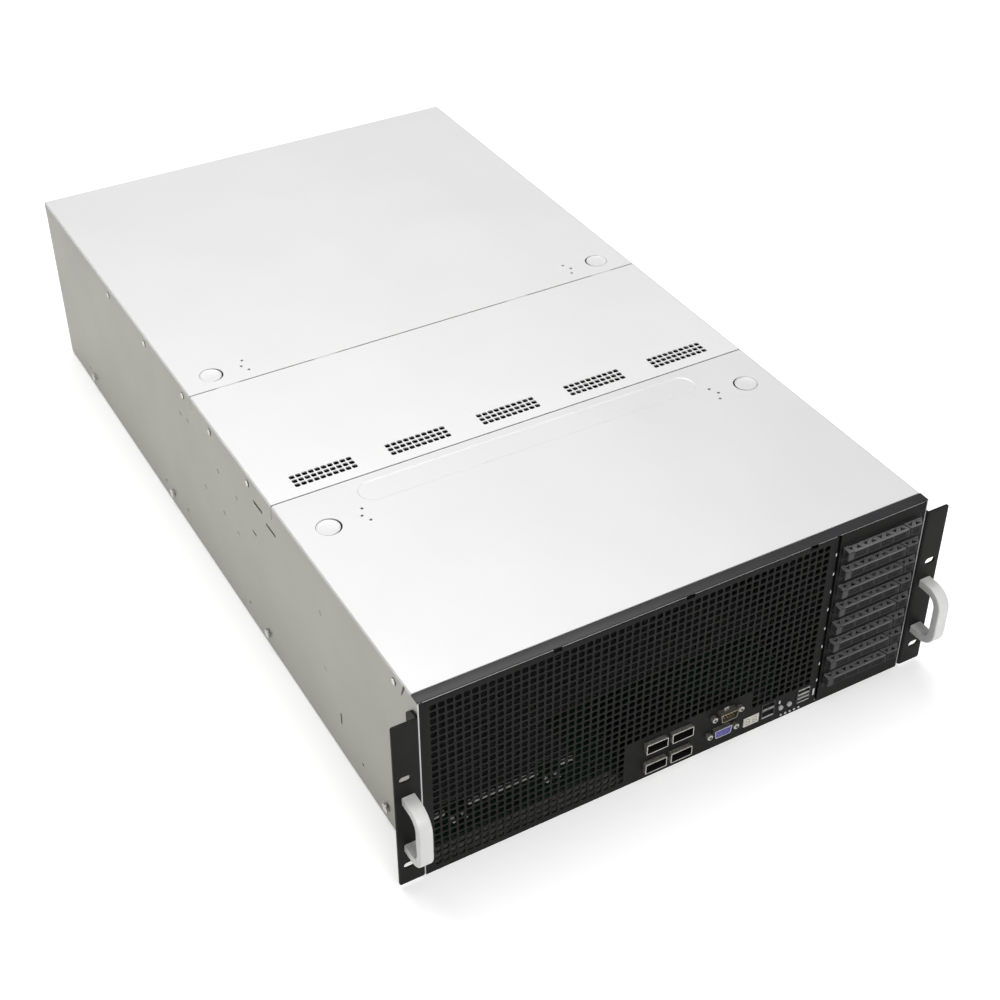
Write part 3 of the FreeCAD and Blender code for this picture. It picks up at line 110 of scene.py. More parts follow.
# what groups of finishes have in common
paint = dict(rough=(0.5, 0.65), shine=0.12, grain=2600, cloud=30, bump=0.35, bumpDepth=0.00006)
moulded = dict(rough=(0.5, 0.65), shine=0.3, grain=3500, cloud=60, bump=0.25, bumpDepth=0.00005)
fanMoulded = dict(grain=2500, cloud=40, bump=0.2, bumpDepth=0.00005)
smallPlastic = dict(grain=3000, cloud=120, bump=0.1, bumpDepth=0.00004)
clear = dict(grain=1800, cloud=150, bump=0.05, bumpDepth=0.00003)
sheet = dict(grain=500, cloud=20, bump=0.08)
coverSheet = dict(rough=(0.42, 0.52), metallic=0.25, grain=900, cloud=9, bump=0.06)
fitting = dict(rough=(0.22, 0.36), metallic=0.85, grain=1500, cloud=150, bump=0.12, bumpDepth=0.00005)
board = dict(grain=700, cloud=60, bump=0.15, bumpDepth=0.00006)

finishes = {
    # sheet steel with a thin bright plating
    "coverSteel": look(coverSheet, (0.86, 0.86, 0.858), (0.90, 0.90, 0.898)),
    # painted shade: a darker copy of the cover steel, for the front cover
    "coverSteelFrontShaded": look(coverSheet, (0.79, 0.79, 0.788), (0.83, 0.83, 0.828)),
    # the case's sides: partly their own warm grey, and painted darker than the covers as the shade on the side
    # walls
    "caseSteelShaded": look({}, (0.43, 0.427, 0.374), (0.48, 0.477, 0.42), rough=(0.40, 0.52), metallic=0.35,
        grain=700, cloud=14, bump=0.08),
    "innerSteel": look(sheet, (0.52, 0.53, 0.53), (0.64, 0.65, 0.65), rough=(0.30, 0.45), metallic=0.85),
    "supplySteel": look(sheet, (0.50, 0.51, 0.51), (0.62, 0.63, 0.63), rough=(0.30, 0.44), metallic=0.8),
    "shadedSteel": look(sheet, (0.060, 0.060, 0.062), (0.095, 0.095, 0.098), rough=(0.40, 0.55),
        metallic=0.4),
    "cutSteel": look({}, (0.80, 0.80, 0.78), (0.92, 0.92, 0.90), rough=(0.18, 0.32), metallic=0.6,
        grain=1500, cloud=60, bump=0.05),
    # painted highlight: near white steel for the lit edge of the deck and its clips
    "lipSteelHighlight": look({}, (0.93, 0.93, 0.92), (0.97, 0.97, 0.96), rough=(0.3, 0.4), grain=1500, cloud=60,
        bump=0.05),
    # powder coat
    "frontBlack": look(paint, (0.010, 0.010, 0.0095), (0.016, 0.016, 0.015)),
    "earBlack": look(paint, (0.011, 0.011, 0.0105), (0.018, 0.018, 0.017)),
    # painted light: the strip's black is lighter than the front's black, for the sheen on its top
    "stripBlackLit": look(paint, (0.030, 0.029, 0.031), (0.042, 0.041, 0.043), shine=0.35,
        rough=(0.36, 0.50), bump=0.3),
    # moulded plastic
    "leverPlastic": look(moulded, (0.058, 0.058, 0.059), (0.078, 0.078, 0.080)),
    # painted light and shade: lit and shaded copies of the lever plastic, lighter for the ledges' tops and
    # darker for the front walls in shade
    "ledgePlasticLit": look(moulded, (0.155, 0.155, 0.157), (0.20, 0.20, 0.203)),
    "wallPlasticShaded": look(moulded, grey(0.024), grey(0.036), shine=0.15),
    "trayPlastic": look(moulded, grey(0.010), grey(0.018), shine=0.25),
    "fanPlastic": look(fanMoulded, grey(0.012), grey(0.022), rough=(0.4, 0.55)),
    "rotorPlastic": look(fanMoulded, (0.016, 0.016, 0.018), (0.028, 0.028, 0.031), rough=(0.32, 0.45)),
    "buttonPlastic": look(smallPlastic, grey(0.50), grey(0.66), rough=(0.3, 0.42), cloud=90),
    "videoBlue": look(smallPlastic, (0.10, 0.09, 0.40), (0.17, 0.15, 0.55), rough=(0.35, 0.5), bump=0.15),
    "socketBlack": look(smallPlastic, grey(0.008), grey(0.014), rough=(0.35, 0.5), shine=0.2),
    "displayCream": look(clear, (0.74, 0.74, 0.63), (0.84, 0.84, 0.73), rough=(0.15, 0.25), coat=0.6),
    "segmentGrey": look(clear, (0.20, 0.20, 0.17), (0.28, 0.28, 0.24), rough=(0.2, 0.3)),
    "lensWhite": look(clear, (0.78, 0.80, 0.80), (0.92, 0.93, 0.93), rough=(0.15, 0.25), coat=0.5,
        cloud=200),
    # metal of the small parts
    "handleSilver": look(fitting, (0.90, 0.90, 0.89), (0.96, 0.96, 0.95), rough=(0.38, 0.5),
        metallic=0.05, grain=1600, cloud=60),
    "screwSteel": look(fitting, (0.50, 0.50, 0.47), (0.72, 0.72, 0.69), cloud=200),
    "cageNickel": look(fitting, (0.50, 0.48, 0.43), (0.74, 0.71, 0.64)),
    "serialTin": look(fitting, (0.26, 0.24, 0.20), (0.42, 0.39, 0.33), rough=(0.25, 0.42), metallic=0.8,
        cloud=160, bump=0.15),
    "pinGold": look(fitting, (0.62, 0.45, 0.18), (0.80, 0.62, 0.28), rough=(0.22, 0.34), metallic=1.0,
        cloud=200, bump=0.05, bumpDepth=0.00003),
    "sinkAluminium": look(fitting, (0.62, 0.63, 0.64), (0.74, 0.75, 0.76), rough=(0.28, 0.42),
        metallic=0.9, grain=600, stretch=(1, 0.05, 1), cloud=20),
    "cardShell": look({}, (0.040, 0.040, 0.042), (0.062, 0.062, 0.066), rough=(0.38, 0.52), metallic=0.4,
        grain=1800, cloud=30, bump=0.25, bumpDepth=0.00006),
    # partly its own green, and painted darker as the shade inside the case
    "boardGreenShaded": look(board, (0.008, 0.036, 0.018), (0.014, 0.058, 0.028), rough=(0.35, 0.5), coat=0.1,
        shine=0.3),
    "boardBlack": look(board, (0.012, 0.012, 0.014), (0.026, 0.026, 0.030), rough=(0.30, 0.45), coat=0.2),
}
finish = {name: newFinish(name, wanted) for name, wanted in finishes.items()}
print("finishes made")


# Making and placing a piece

def finishPiece(bm, name, body, coat, replaces=(), sharp=32, rest=(), crisp=False):
    # coat is the finish of material index 0, and rest those of the next indices
    # crisp keeps low steps in a level sheet sharp
    placeAll(bm, toFrame)
    bmesh.ops.recalc_face_normals(bm, faces=bm.faces[:])
    limit = math.radians(sharp)
    for face in bm.faces:
        face.smooth = True
    for edge in bm.edges:
        angle = edge.calc_face_angle(0) if edge.is_manifold else math.pi
        level = crisp and all(face.normal.z > 0.85 for face in edge.link_faces)
        edge.smooth = angle < (0.03 if level else limit)
    mesh = bpy.data.meshes.new(name)
    bm.to_mesh(mesh)
    bm.free()
    for each in (coat, *rest):
        mesh.materials.append(finish[each])
    made = bpy.data.objects.new(name, mesh)
    bpy.context.scene.collection.objects.link(made)
    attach(made, body)
    if replaces:
        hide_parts(*replaces)
    return made


def copyInto(bm, part, *places):
    # puts the small part into bm once for each matrix, or once as it is, and uses the part up
    kept = bpy.data.meshes.new("part")
    part.to_mesh(kept)
    part.free()
    for place in places or (Matrix.Identity(4),):
        placed = kept.copy()
        placed.transform(place)
        bm.from_mesh(placed)
        bpy.data.meshes.remove(placed)
    bpy.data.meshes.remove(kept)


def moveBy(x=0, y=0, z=0):
    return Matrix.Translation((x, y, z))


def turnBy(angle, axis):
    return Matrix.Rotation(math.radians(angle), 4, axis)


def placeAll(bm, matrix):
    bmesh.ops.transform(bm, matrix=matrix, verts=bm.verts[:])


def shift(bm, x=0, y=0, z=0):
    bmesh.ops.translate(bm, vec=(x, y, z), verts=bm.verts[:])


def standUp(bm, y=0):
    # from the drawn plane to an upright one that faces the front at y
    placeAll(bm, moveBy(0, y, 0) @ upright)


def paintFaces(faces, index):
    for face in faces:
        face.material_index = index


def around(middle, half):
    return (middle - half, middle + half)


def evenly(first, step, count):
    return [first + step * k for k in range(count)]


def bevelAll(bm, parts, width, segments=2, affect="EDGES"):
    bmesh.ops.bevel(bm, geom=parts, offset=width, offset_type="OFFSET", segments=segments, profile=0.5,
                    affect=affect, clamp_overlap=True, material=-1)


def vertsOf(parts):
    return [part for part in parts if isinstance(part, bmesh.types.BMVert)]


def addBlock(bm, xEnds, yEnds, zEnds, soft=0.0, index=0, segments=1):
    old = set(bm.faces)
    made = bmesh.ops.create_cube(bm, size=1)["verts"]
    ends = (xEnds, yEnds, zEnds)
    bmesh.ops.scale(bm, vec=[abs(b - a) for a, b in ends], verts=made)
    bmesh.ops.translate(bm, vec=[(a + b) / 2 for a, b in ends], verts=made)
    if soft:
        bevelAll(bm, list({edge for vert in made for edge in vert.link_edges}), soft, segments)
    if index:
        paintFaces(set(bm.faces) - old, index)


def addRod(bm, axis, centre, radius, ends, steps=24, soft=0.0, index=0):
    old, oldEdges = set(bm.faces), set(bm.edges)
    low, high = min(ends), max(ends)
    turned = {"x": turnBy(90, "Y"), "y": turnBy(-90, "X"), "z": Matrix.Identity(4)}[axis]
    spot = dict(zip([other for other in "xyz" if other != axis], centre))
    spot[axis] = (low + high) / 2
    place = moveBy(**spot) @ turned
    bmesh.ops.create_cone(bm, cap_ends=True, segments=steps, radius1=radius, radius2=radius, depth=high - low,
                          matrix=place)
    if soft:
        rims = [e for e in bm.edges if e not in oldEdges and any(len(f.verts) > 4 for f in e.link_faces)]
        bevelAll(bm, rims, soft, 2)
    if index:
        paintFaces(set(bm.faces) - old, index)


# Sheets: outlines and openings are drawn flat, filled, thickened and then folded

def corners(xEnds, yEnds):
    return [(xEnds[0], yEnds[0]), (xEnds[1], yEnds[0]), (xEnds[1], yEnds[1]), (xEnds[0], yEnds[1])]


def addOutline(bm, points, round=0.0, segments=3):
    old, oldEdges = set(bm.faces), set(bm.edges)
    verts = [bm.verts.new((x, y, 0)) for x, y in points]
    bm.faces.new(verts)
    if round:
        bevelAll(bm, verts, round, segments, "VERTICES")
    bmesh.ops.delete(bm, geom=[f for f in bm.faces if f not in old], context="FACES_ONLY")
    return [e for e in bm.edges if e not in oldEdges]


def addRect(bm, xEnds, yEnds, round=0.0, segments=3):
    return addOutline(bm, corners(xEnds, yEnds), round, segments)


def addRing(bm, x, y, radius, segments):
    old = set(bm.edges)
    bmesh.ops.create_circle(bm, cap_ends=False, radius=radius, segments=segments, matrix=moveBy(x, y))
    return [e for e in bm.edges if e not in old]


def fillBetween(bm, edges):
    bmesh.ops.triangle_fill(bm, use_beauty=True, use_dissolve=False, edges=edges, normal=(0, 0, 1))


def thicken(bm, depth):
    # the drawn side stays on top, and the sheet gets its thickness downwards
    made = bmesh.ops.extrude_face_region(bm, geom=bm.faces[:])
    bmesh.ops.translate(bm, vec=(0, 0, -depth), verts=vertsOf(made["geom"]))
    bmesh.ops.recalc_face_normals(bm, faces=bm.faces[:])


def foldDown(bm, start, radius, gauge, side=1, along="x", steps=4):
    # bends what lies beyond start a quarter turn down, round an outer radius
    axis = "xy".index(along)
    middle = radius - gauge / 2
    arc = middle * math.pi / 2
    normal = Vector((side, 0, 0)) if axis == 0 else Vector((0, side, 0))
    for step in range(steps + 1):
        bmesh.ops.bisect_plane(bm, geom=bm.verts[:] + bm.edges[:] + bm.faces[:], dist=0.0001,
                               plane_co=normal * (start + arc * step / steps), plane_no=normal)
    for vert in bm.verts:
        past = vert.co[axis] * side - start
        if past > 0.0001:
            turned = min(past / middle, math.pi / 2)
            reach = radius + vert.co.z
            vert.co[axis] = side * (start + reach * math.sin(turned))
            vert.co.z = reach * math.cos(turned) - radius - max(past - arc, 0)


def spinProfile(bm, profile, steps, axis="z"):
    # turns a profile of (radius, place along the axis) all the way round
    spots = [(r, 0, a) if axis == "z" else (r, a, 0) for r, a in profile]
    verts = [bm.verts.new(spot) for spot in spots]
    for a, b in zip(verts, verts[1:]):
        bm.edges.new((a, b))
    direction = [float(axis == each) for each in "xyz"]
    bmesh.ops.spin(bm, geom=bm.verts[:] + bm.edges[:], cent=(0, 0, 0), axis=direction, angle=2 * math.pi,
                   steps=steps, use_merge=True, use_duplicate=False)
    bmesh.ops.remove_doubles(bm, verts=bm.verts[:], dist=0.001)


def frontRim(bm):
    # the sharp edges in the drawn plane
    return [e for e in bm.edges if e.is_manifold and e.calc_face_angle(0) > 1.2
            and all(abs(vert.co.z) < 0.01 for vert in e.verts)]


def addUpright(bm, part, edges, depth, y=0, index=0):
    # closes a drawn sheet, stands it up with its front at y and puts it into bm
    fillBetween(part, edges)
    thicken(part, depth)
    paintFaces(part.faces, index)
    standUp(part, y)
    copyInto(bm, part)


def foldedLength(straight, radius, gauge):
    return (radius - gauge / 2) * math.pi / 2 + straight


def addLattice(bm, fields, pitch, hole, round):
    # fields are (left, low, columns, rows) of cells, each with one rounded square hole
    tag = bm.verts.layers.int.new("hole")
    addRect(bm, (-hole / 2, hole / 2), (-hole / 2, hole / 2), round, 2)
    for vert in bm.verts:
        vert[tag] = 1
    holeEdges = bm.edges[:]
    frameEdges = addRect(bm, (-pitch[0] / 2, pitch[0] / 2), (-pitch[1] / 2, pitch[1] / 2))
    bmesh.ops.subdivide_edges(bm, edges=frameEdges, cuts=2)
    frameEdges = [e for e in bm.edges if not (e.verts[0][tag] and e.verts[1][tag])]
    bmesh.ops.bridge_loops(bm, edges=holeEdges + frameEdges)
    cell = bm.copy()
    bmesh.ops.delete(bm, geom=bm.verts[:], context="VERTS")
    for left, low, columns, rows in fields:
        block = cell.copy()
        shift(block, left + pitch[0] / 2, low + pitch[1] / 2)
        for count, step in ((columns, (pitch[0], 0, 0)), (rows, (0, pitch[1], 0))):
            first = block.verts[:] + block.edges[:] + block.faces[:]
            for index in range(1, count):
                copied = bmesh.ops.duplicate(block, geom=first)["geom"]
                bmesh.ops.translate(block, vec=Vector(step) * index, verts=vertsOf(copied))
        copyInto(bm, block)
    cell.free()
    bmesh.ops.remove_doubles(bm, verts=bm.verts[:], dist=0.002)
    tag = bm.verts.layers.int["hole"]
    return [e for e in bm.edges if e.is_boundary and not (e.verts[0][tag] and e.verts[1][tag])]


# Top covers

coverShape = dict(
    top=175.5, half=220.15, gauge=1.0, skirt=13.0, bend=1.7, front=10.0, back=802.0, frontSeam=242.8,
    rearSeam=411.4, seamGap=1.3, groove=0.36, thumbX=192.0, thumbRadius=10.3, thumbShift=0.62, frontThumb=45.2,
    rearThumb=21.0, dotRadius=1.3, dots=((164.6, 0.0), (160.8, 8.0), (160.8, -7.6)), screwZ=166.0,
    vents=(-166.7, -83.4, 0, 83.4, 166.7), ventY=262.2, ventPitch=(5.45, 5.6), vent=4.5)


def addThumbButtons(bm, y):
    # a pull disc in a round opening, set outwards so that the gap is widest towards the middle,
    # and a dark cup below it: painted shade in the gap
    for side in (-1, 1):
        x = side * coverShape["thumbX"]
        part = bmesh.new()
        rim = [(9.45, -0.5), (9.4, -0.1), (9.1, 0.06), (8.5, 0.06), (8.2, -0.1)]
        spinProfile(part, rim + [(7.4, -0.16), (4.0, -0.3), (0, -0.34)], 56)
        thicken(part, 0.7)
        copyInto(bm, part, moveBy(x + side * coverShape["thumbShift"], y))
        addRod(bm, "z", (x, y), coverShape["thumbRadius"] + 0.6, (-1.9, -1.02), 40, 0, 2)


def drawCover(bm, start, end, thumbY=None):
    # the blank before folding, with its thumb openings and the small holes beside them
    c = coverShape
    reach = c["half"] - c["bend"] + foldedLength(c["skirt"] - c["bend"], c["bend"], c["gauge"])
    edges = addRect(bm, (-reach, reach), (start, end))
    if thumbY is None:
        return edges
    for side in (-1, 1):
        for x, away in c["dots"]:
            edges += addRing(bm, side * x, thumbY + away, c["dotRadius"], 10)
    for side in (-1, 1):
        edges += addRing(bm, side * c["thumbX"], thumbY, c["thumbRadius"], 48)
    return edges


def closeCover(bm, name, body, screws, thumbY=None, steel="coverSteel"):
    c = coverShape
    thicken(bm, c["gauge"])
    for side in (-1, 1):
        foldDown(bm, c["half"] - c["bend"], c["bend"], c["gauge"], side)
    # painted shade: the cover's sideways faces take the darker case steel of the side walls
    for face in bm.faces:
        if abs(face.normal.x) > 0.95 and face.calc_center_median().z < -c["bend"] - 0.1:
            face.material_index = 3
    if thumbY is not None:
        addThumbButtons(bm, thumbY)
        # painted shade: dark pads under the small holes, so they look shaded
        for side in (-1, 1):
            addBlock(bm, around(side * 162.7, 4), (thumbY - 10.5, thumbY + 11), (-1.5, -1.02), index=2)
    shift(bm, 0, 0, c["top"])
    addCoverScrews(bm, screws)
    finishPiece(bm, name + "_look", body, steel, [name],
                rest=("screwSteel", "socketBlack", "caseSteelShaded"), crisp=True)


def addCoverScrews(bm, places):
    part = bmesh.new()
    addRod(part, "x", (0, 0), 3.3, (-0.2, 0.05), 24, 0, 2)
    addRod(part, "x", (0, 0), 2.7, (0, 0.85), 20, 0.35, 1)
    for turn in (0, 90):
        cross = bmesh.new()
        addBlock(cross, (0.78, 0.83), (-1.6, 1.6), (-0.3, 0.3), index=2)
        copyInto(part, cross, turnBy(turn + 20, "X"))
    for side, turn in ((-1, 180), (1, 0)):
        place = moveBy(side * coverShape["half"], 0, coverShape["screwZ"])
        copyInto(bm, part.copy(), *[place @ moveBy(0, y) @ turnBy(turn, "Z") for y in places])
    part.free()


def stadium(bm, halfLength, halfWidth, centreY, steps=12):
    points = []
    for side, turn in ((1, -90), (-1, 90)):
        for step in range(steps + 1):
            angle = math.radians(turn + 180 * step / steps)
            x = side * (halfLength - halfWidth) + halfWidth * math.cos(angle)
            points.append((x, centreY + halfWidth * math.sin(angle)))
    return addOutline(bm, points)


def frontCover():
    c = coverShape
    bm = bmesh.new()
    thumbY = c["frontSeam"] - c["frontThumb"]
    edges = drawCover(bm, c["front"], c["frontSeam"] - c["seamGap"] / 2, thumbY)
    outer = stadium(bm, 155.6, 12.4, 221.7)
    inner = stadium(bm, 154.8, 11.6, 221.7)
    innerVerts = [v.co.copy() for e in inner for v in e.verts]
    fillBetween(bm, edges + outer)
    fillBetween(bm, outer + inner)
    fillBetween(bm, inner)
    for vert in bm.verts:
        if any((vert.co - spot).length < 0.001 for spot in innerVerts):
            vert.co.z = -c["groove"]
    # the front cover takes the darker copy of the cover steel, painted shade
    closeCover(bm, "top_cover_front", "front_cover", (35,), thumbY, "coverSteelFrontShaded")
    # painted shade: black slivers on the skirts stand for the corner slits' shaded insides
    slit = bmesh.new()
    for side in (-1, 1):
        outside = side * (c["half"] + 0.03)
        points = [(17.6, 174.2), (20.6, 174.2), (24.6, 162.6), (23.2, 162.6)]
        verts = [slit.verts.new((x, y, z)) for x in (outside, outside - side * 0.3) for y, z in points]
        bmesh.ops.convex_hull(slit, input=verts)
    finishPiece(slit, "corner_slits", "front_cover", "socketBlack")


def middleCover():
    c = coverShape
    bm = bmesh.new()
    pitch = c["ventPitch"]
    fields = [(x - 5 * pitch[0], c["ventY"] - 1.5 * pitch[1], 10, 3) for x in c["vents"]]
    edges = addLattice(bm, fields, pitch, c["vent"], 1.2)
    edges += drawCover(bm, c["frontSeam"] + c["seamGap"] / 2, c["rearSeam"] - c["seamGap"] / 2)
    fillBetween(bm, edges)
    closeCover(bm, "top_cover_middle", "case", (290, 369))


def rearCover():
    c = coverShape
    bm = bmesh.new()
    thumbY = c["rearSeam"] + c["rearThumb"]
    fillBetween(bm, drawCover(bm, c["rearSeam"] + c["seamGap"] / 2, c["back"], thumbY))
    tabs = bmesh.new()
    for x in (-185, -95, 95, 185):
        addBlock(tabs, around(x, 10), around(c["rearSeam"], 5), (-1.95, -1.02), 0.2, 0, 2)
    closeCover(bm, "top_cover_rear", "rear_cover", (429.5, 522, 616), thumbY)
    shift(tabs, 0, 0, c["top"])
    finishPiece(tabs, "rear_cover_tabs", "rear_cover", "coverSteel")


def seamShadeStrips():
    # painted shade: dark strips under the two seams, so the gaps look shaded; the rear one is broken where the
    # tabs pass
    bm = bmesh.new()
    whole = [(-219.4, 219.4)]
    broken = [(-219.4, -195.6), (-174.4, -105.6), (-84.4, 84.4), (105.6, 174.4), (195.6, 219.4)]
    for y, spans in ((coverShape["frontSeam"], whole), (coverShape["rearSeam"], broken)):
        for ends in spans:
            addBlock(bm, ends, around(y, 0.62), (174.52, 174.8))
    finishPiece(bm, "seam_shade_strips", "case", "socketBlack")


frontCover()
middleCover()
rearCover()
seamShadeStrips()
print("covers made")


# Front perforated panel

portShape = dict(cageX=(-21.85, 1.65), cageZ=(13.0, 34.2), serial=(43.8, 35.0), video=(40.6, 17.6),
                 shell=(16.6, 8.2, 1.2), stackX=(86.6, 121.6), stackZ=(11.9, 19.7), displayX=(62.8, 78.4),
                 displayZ=(7.0, 17.0), powerX=99.4, identifyX=107.9, buttonZ=12.0,
                 lightX=evenly(101.0, 4.4, 5), lightZ=2.7)
panelShape = dict(left=-217.6, right=133.9, low=1.2, high=174.2, gauge=1.2, bend=1.5, fold=7.0,
                  pitch=(6.53, 6.57), hole=5.0, holeRound=1.4, firstX=-208.7, firstZ=8.3, columns=52, rows=25,
                  windowColumns=25, windowRows=6, cornerColumns=9, cornerRows=3)


def dShape(x, z, width, height, slant, grow=0.0):
    w, h = width / 2 + grow, height / 2 + grow
    return [(x - w + slant, z - h), (x + w - slant, z - h), (x + w, z + h), (x - w, z + h)]


def frontPanel():
    p = panelShape
    bm = bmesh.new()
    stepX, stepZ = p["pitch"]
    left, low = p["firstX"] - stepX / 2, p["firstZ"] - stepZ / 2
    windowTop = low + p["windowRows"] * stepZ
    cornerLeft = left + (p["columns"] - p["cornerColumns"]) * stepX
    fields = [
        (left, windowTop, p["columns"], p["rows"] - p["windowRows"]),
        (left, low, p["windowColumns"], p["windowRows"]),
        (cornerLeft, windowTop - p["cornerRows"] * stepZ, p["cornerColumns"], p["cornerRows"]),
    ]
    edges = addLattice(bm, fields, p["pitch"], p["hole"], p["holeRound"])
    bendStart = p["high"] - p["bend"]
    blankTop = bendStart + foldedLength(p["fold"] - p["bend"], p["bend"], p["gauge"])
    edges += addRect(bm, (p["left"], p["right"]), (p["low"], blankTop))
    for x in (-111, 0, 111):
        edges += addRect(bm, around(x, 3.5), (171.0, bendStart + 4.0))
    o = portShape
    for x in o["cageX"]:
        for z in o["cageZ"]:
            edges += addRect(bm, around(x, 10.1), around(z, 5.2), 0.5, 2)
    for place in (o["serial"], o["video"]):
        edges += addOutline(bm, dShape(*place, *o["shell"], 0.3), 1.0, 3)
    for x in o["stackX"]:
        edges += addRect(bm, around(x, 6.8), (7.7, 23.9), 0.4, 2)
    edges += addRect(bm, o["displayX"], o["displayZ"], 0.6, 2)
    for x in (o["powerX"], o["identifyX"]):
        edges += addRing(bm, x, o["buttonZ"], 2.5, 20)
    for x in o["lightX"]:
        edges += addRing(bm, x, o["lightZ"], 1.2, 12)
    fillBetween(bm, edges)
    thicken(bm, p["gauge"])
    foldDown(bm, bendStart, p["bend"], p["gauge"], 1, "y")
    standUp(bm)
    # black edges beside and below the panel, over the edges of the case
    addBlock(bm, (-219.1, -217.4), (-0.04, 0.4), (0.05, 174.3), 0.1)
    addBlock(bm, (-219.1, 219.1), (-0.05, 0.4), (0.03, 1.5), 0.1)
    finishPiece(bm, "front_perforated_panel", "case", "frontBlack", ["front_mesh_panel"])


frontPanel()
print("front panel made")


# Black strip over the front edge

def topStrip():
    bm = bmesh.new()
    addBlock(bm, (-220.1, 220.1), (0.05, 9.5), (174.5, 175.45), 0.35, 0, 3)
    # the strip takes the lighter black, painted light on its top
    finishPiece(bm, "front_strip", "case", "stripBlackLit", ["front_top_strip"])
    # painted highlight: thin light strips along the panels' top bend, under the black strip
    bm = bmesh.new()
    for ends in ((-216.4, -114.6), (-107.4, -3.6), (3.6, 107.4), (114.6, 132.0), (135.2, 216.4)):
        addBlock(bm, ends, (-0.02, 1.2), (174.1, 174.42), 0.08)
    finishPiece(bm, "front_edge_highlight", "case", "supplySteel")


topStrip()


# Rack ears: a sheet drawn flat, with the flange beyond the bend

earShape = dict(wall=220.2, tip=241.3, gauge=1.9, low=3.0, high=163.2, bend=2.3, slotX=232.55,
                slots=(21.4, 110.3), slotLength=9.6, slotWidth=6.0, flange=14.3, cut=7.0)


def rackEar(side, hand):
    e = earShape
    bm = bmesh.new()
    # across the sheet: x runs from the tip to the bend, and on into the flange
    bendStart = e["tip"] - e["wall"] - e["bend"]
    arc = foldedLength(0, e["bend"], e["gauge"])
    end = bendStart + arc + e["flange"] - (e["bend"] - e["gauge"])
    low, high, cut = e["low"], e["high"], e["cut"]
    points = [(0, low), (end, low), (end, high - cut), (end - cut, high), (0, high)]
    edges = addOutline(bm, points, 1.5, 4)
    half = e["slotWidth"] / 2
    slotEnds = around(e["tip"] - e["slotX"], e["slotLength"] / 2)
    for z in e["slots"]:
        edges += addRect(bm, slotEnds, around(z, half), half * 0.98, 8)
    fillBetween(bm, edges)
    thicken(bm, e["gauge"])
    foldDown(bm, bendStart, e["bend"], e["gauge"], 1, "x", 5)
    rims = [x for x in bm.edges if x.is_manifold and x.calc_face_angle(0) > 1.2]
    bevelAll(bm, rims, 0.22, 1)
    # stood up with its front at the front, mirrored for the left side
    place = moveBy(side * e["tip"], -e["gauge"], 0) @ Matrix.Diagonal((-side, 1, 1, 1)) @ upright
    placeAll(bm, place)
    finishPiece(bm, "ear_" + hand, "case", "earBlack", ["rack_ear_" + hand], 40)


# Bow handles: a bar with slightly rounded edges swept through two bends

handleShape = dict(x=231.0, low=37.0, high=93.3, reach=28.3, foot=1.9, width=10.4, thick=7.4, bend=13.0,
                   edge=1.0)


def bowHandle(side, hand):
    h = handleShape
    bm = bmesh.new()
    half, thick = h["width"] / 2, h["thick"]
    addRect(bm, (-half, half), (h["low"], h["low"] + thick), h["edge"], 4)
    fillBetween(bm, bm.edges[:])
    bmesh.ops.dissolve_limit(bm, angle_limit=0.01, verts=bm.verts[:], edges=bm.edges[:])
    standUp(bm, -h["foot"])
    face = bm.faces[:][0]

    def pull(current, vec):
        made = bmesh.ops.extrude_face_region(bm, geom=[current])["geom"]
        bmesh.ops.translate(bm, vec=vec, verts=vertsOf(made))
        return [g for g in made if isinstance(g, bmesh.types.BMFace)][0]

    def bend(current, centre, angle):
        made = bmesh.ops.spin(bm, geom=[current], cent=centre, axis=(1, 0, 0), angle=math.radians(angle),
                              steps=12, use_merge=False, use_duplicate=False)["geom_last"]
        return [g for g in made if isinstance(g, bmesh.types.BMFace)][0]

    turn = h["bend"] + thick / 2  # outer radius of the bends
    front = -h["reach"]
    face = pull(face, (0, front + turn + h["foot"], 0))
    face = bend(face, (0, front + turn, h["low"] + turn), -90)
    face = pull(face, (0, 0, h["high"] - h["low"] - 2 * turn))
    face = bend(face, (0, front + turn, h["high"] - turn), -90)
    pull(face, (0, -front - turn - h["foot"], 0))
    inside = [f for f in bm.faces if len(f.verts) > 4 and f.calc_center_median().y < -h["foot"] - 0.1]
    bmesh.ops.delete(bm, geom=inside, context="FACES_ONLY")
    bmesh.ops.remove_doubles(bm, verts=bm.verts[:], dist=0.001)
    shift(bm, side * h["x"])
    finishPiece(bm, "bow_handle_" + hand, "case", "handleSilver", ["handle_" + hand], 40)


hands = ((-1, "left"), (1, "right"))
for side, hand in hands:
    rackEar(side, hand)
    bowHandle(side, hand)
print("ears and handles made")


# Drive bay

bayShape = dict(left=136.8, right=217.6, low=1.2, high=174.2, bend=1.5, fold=7.0, openLeft=139.2,
                openRight=216.8, top=163.6, pitch=18.8, gauge=1.2,
                windows=(156, 137, 119, 101, 81, 62, 43.4, 25.3))
trayShape = dict(
    gap=0.4, face=1.5, reach=6.2, drop=0.9, height=9.3, top=3.3, sheet=1.1, hingeX=142.6, hingeY=-2.2,
    heel=139.9, nose=140.7, noseLength=5.2, slant=0.27, end=196.7, endFront=199.9, catch=197.8, catchFront=201.0,
    catchSlant=4.9, truss=7.03, side=5.4, slotRows=(2.0, 3.6, 5.4), heelRows=(2.0, 3.6, 5.2, 6.8))


def trayTop(index):
    return bayShape["top"] - index * bayShape["pitch"]


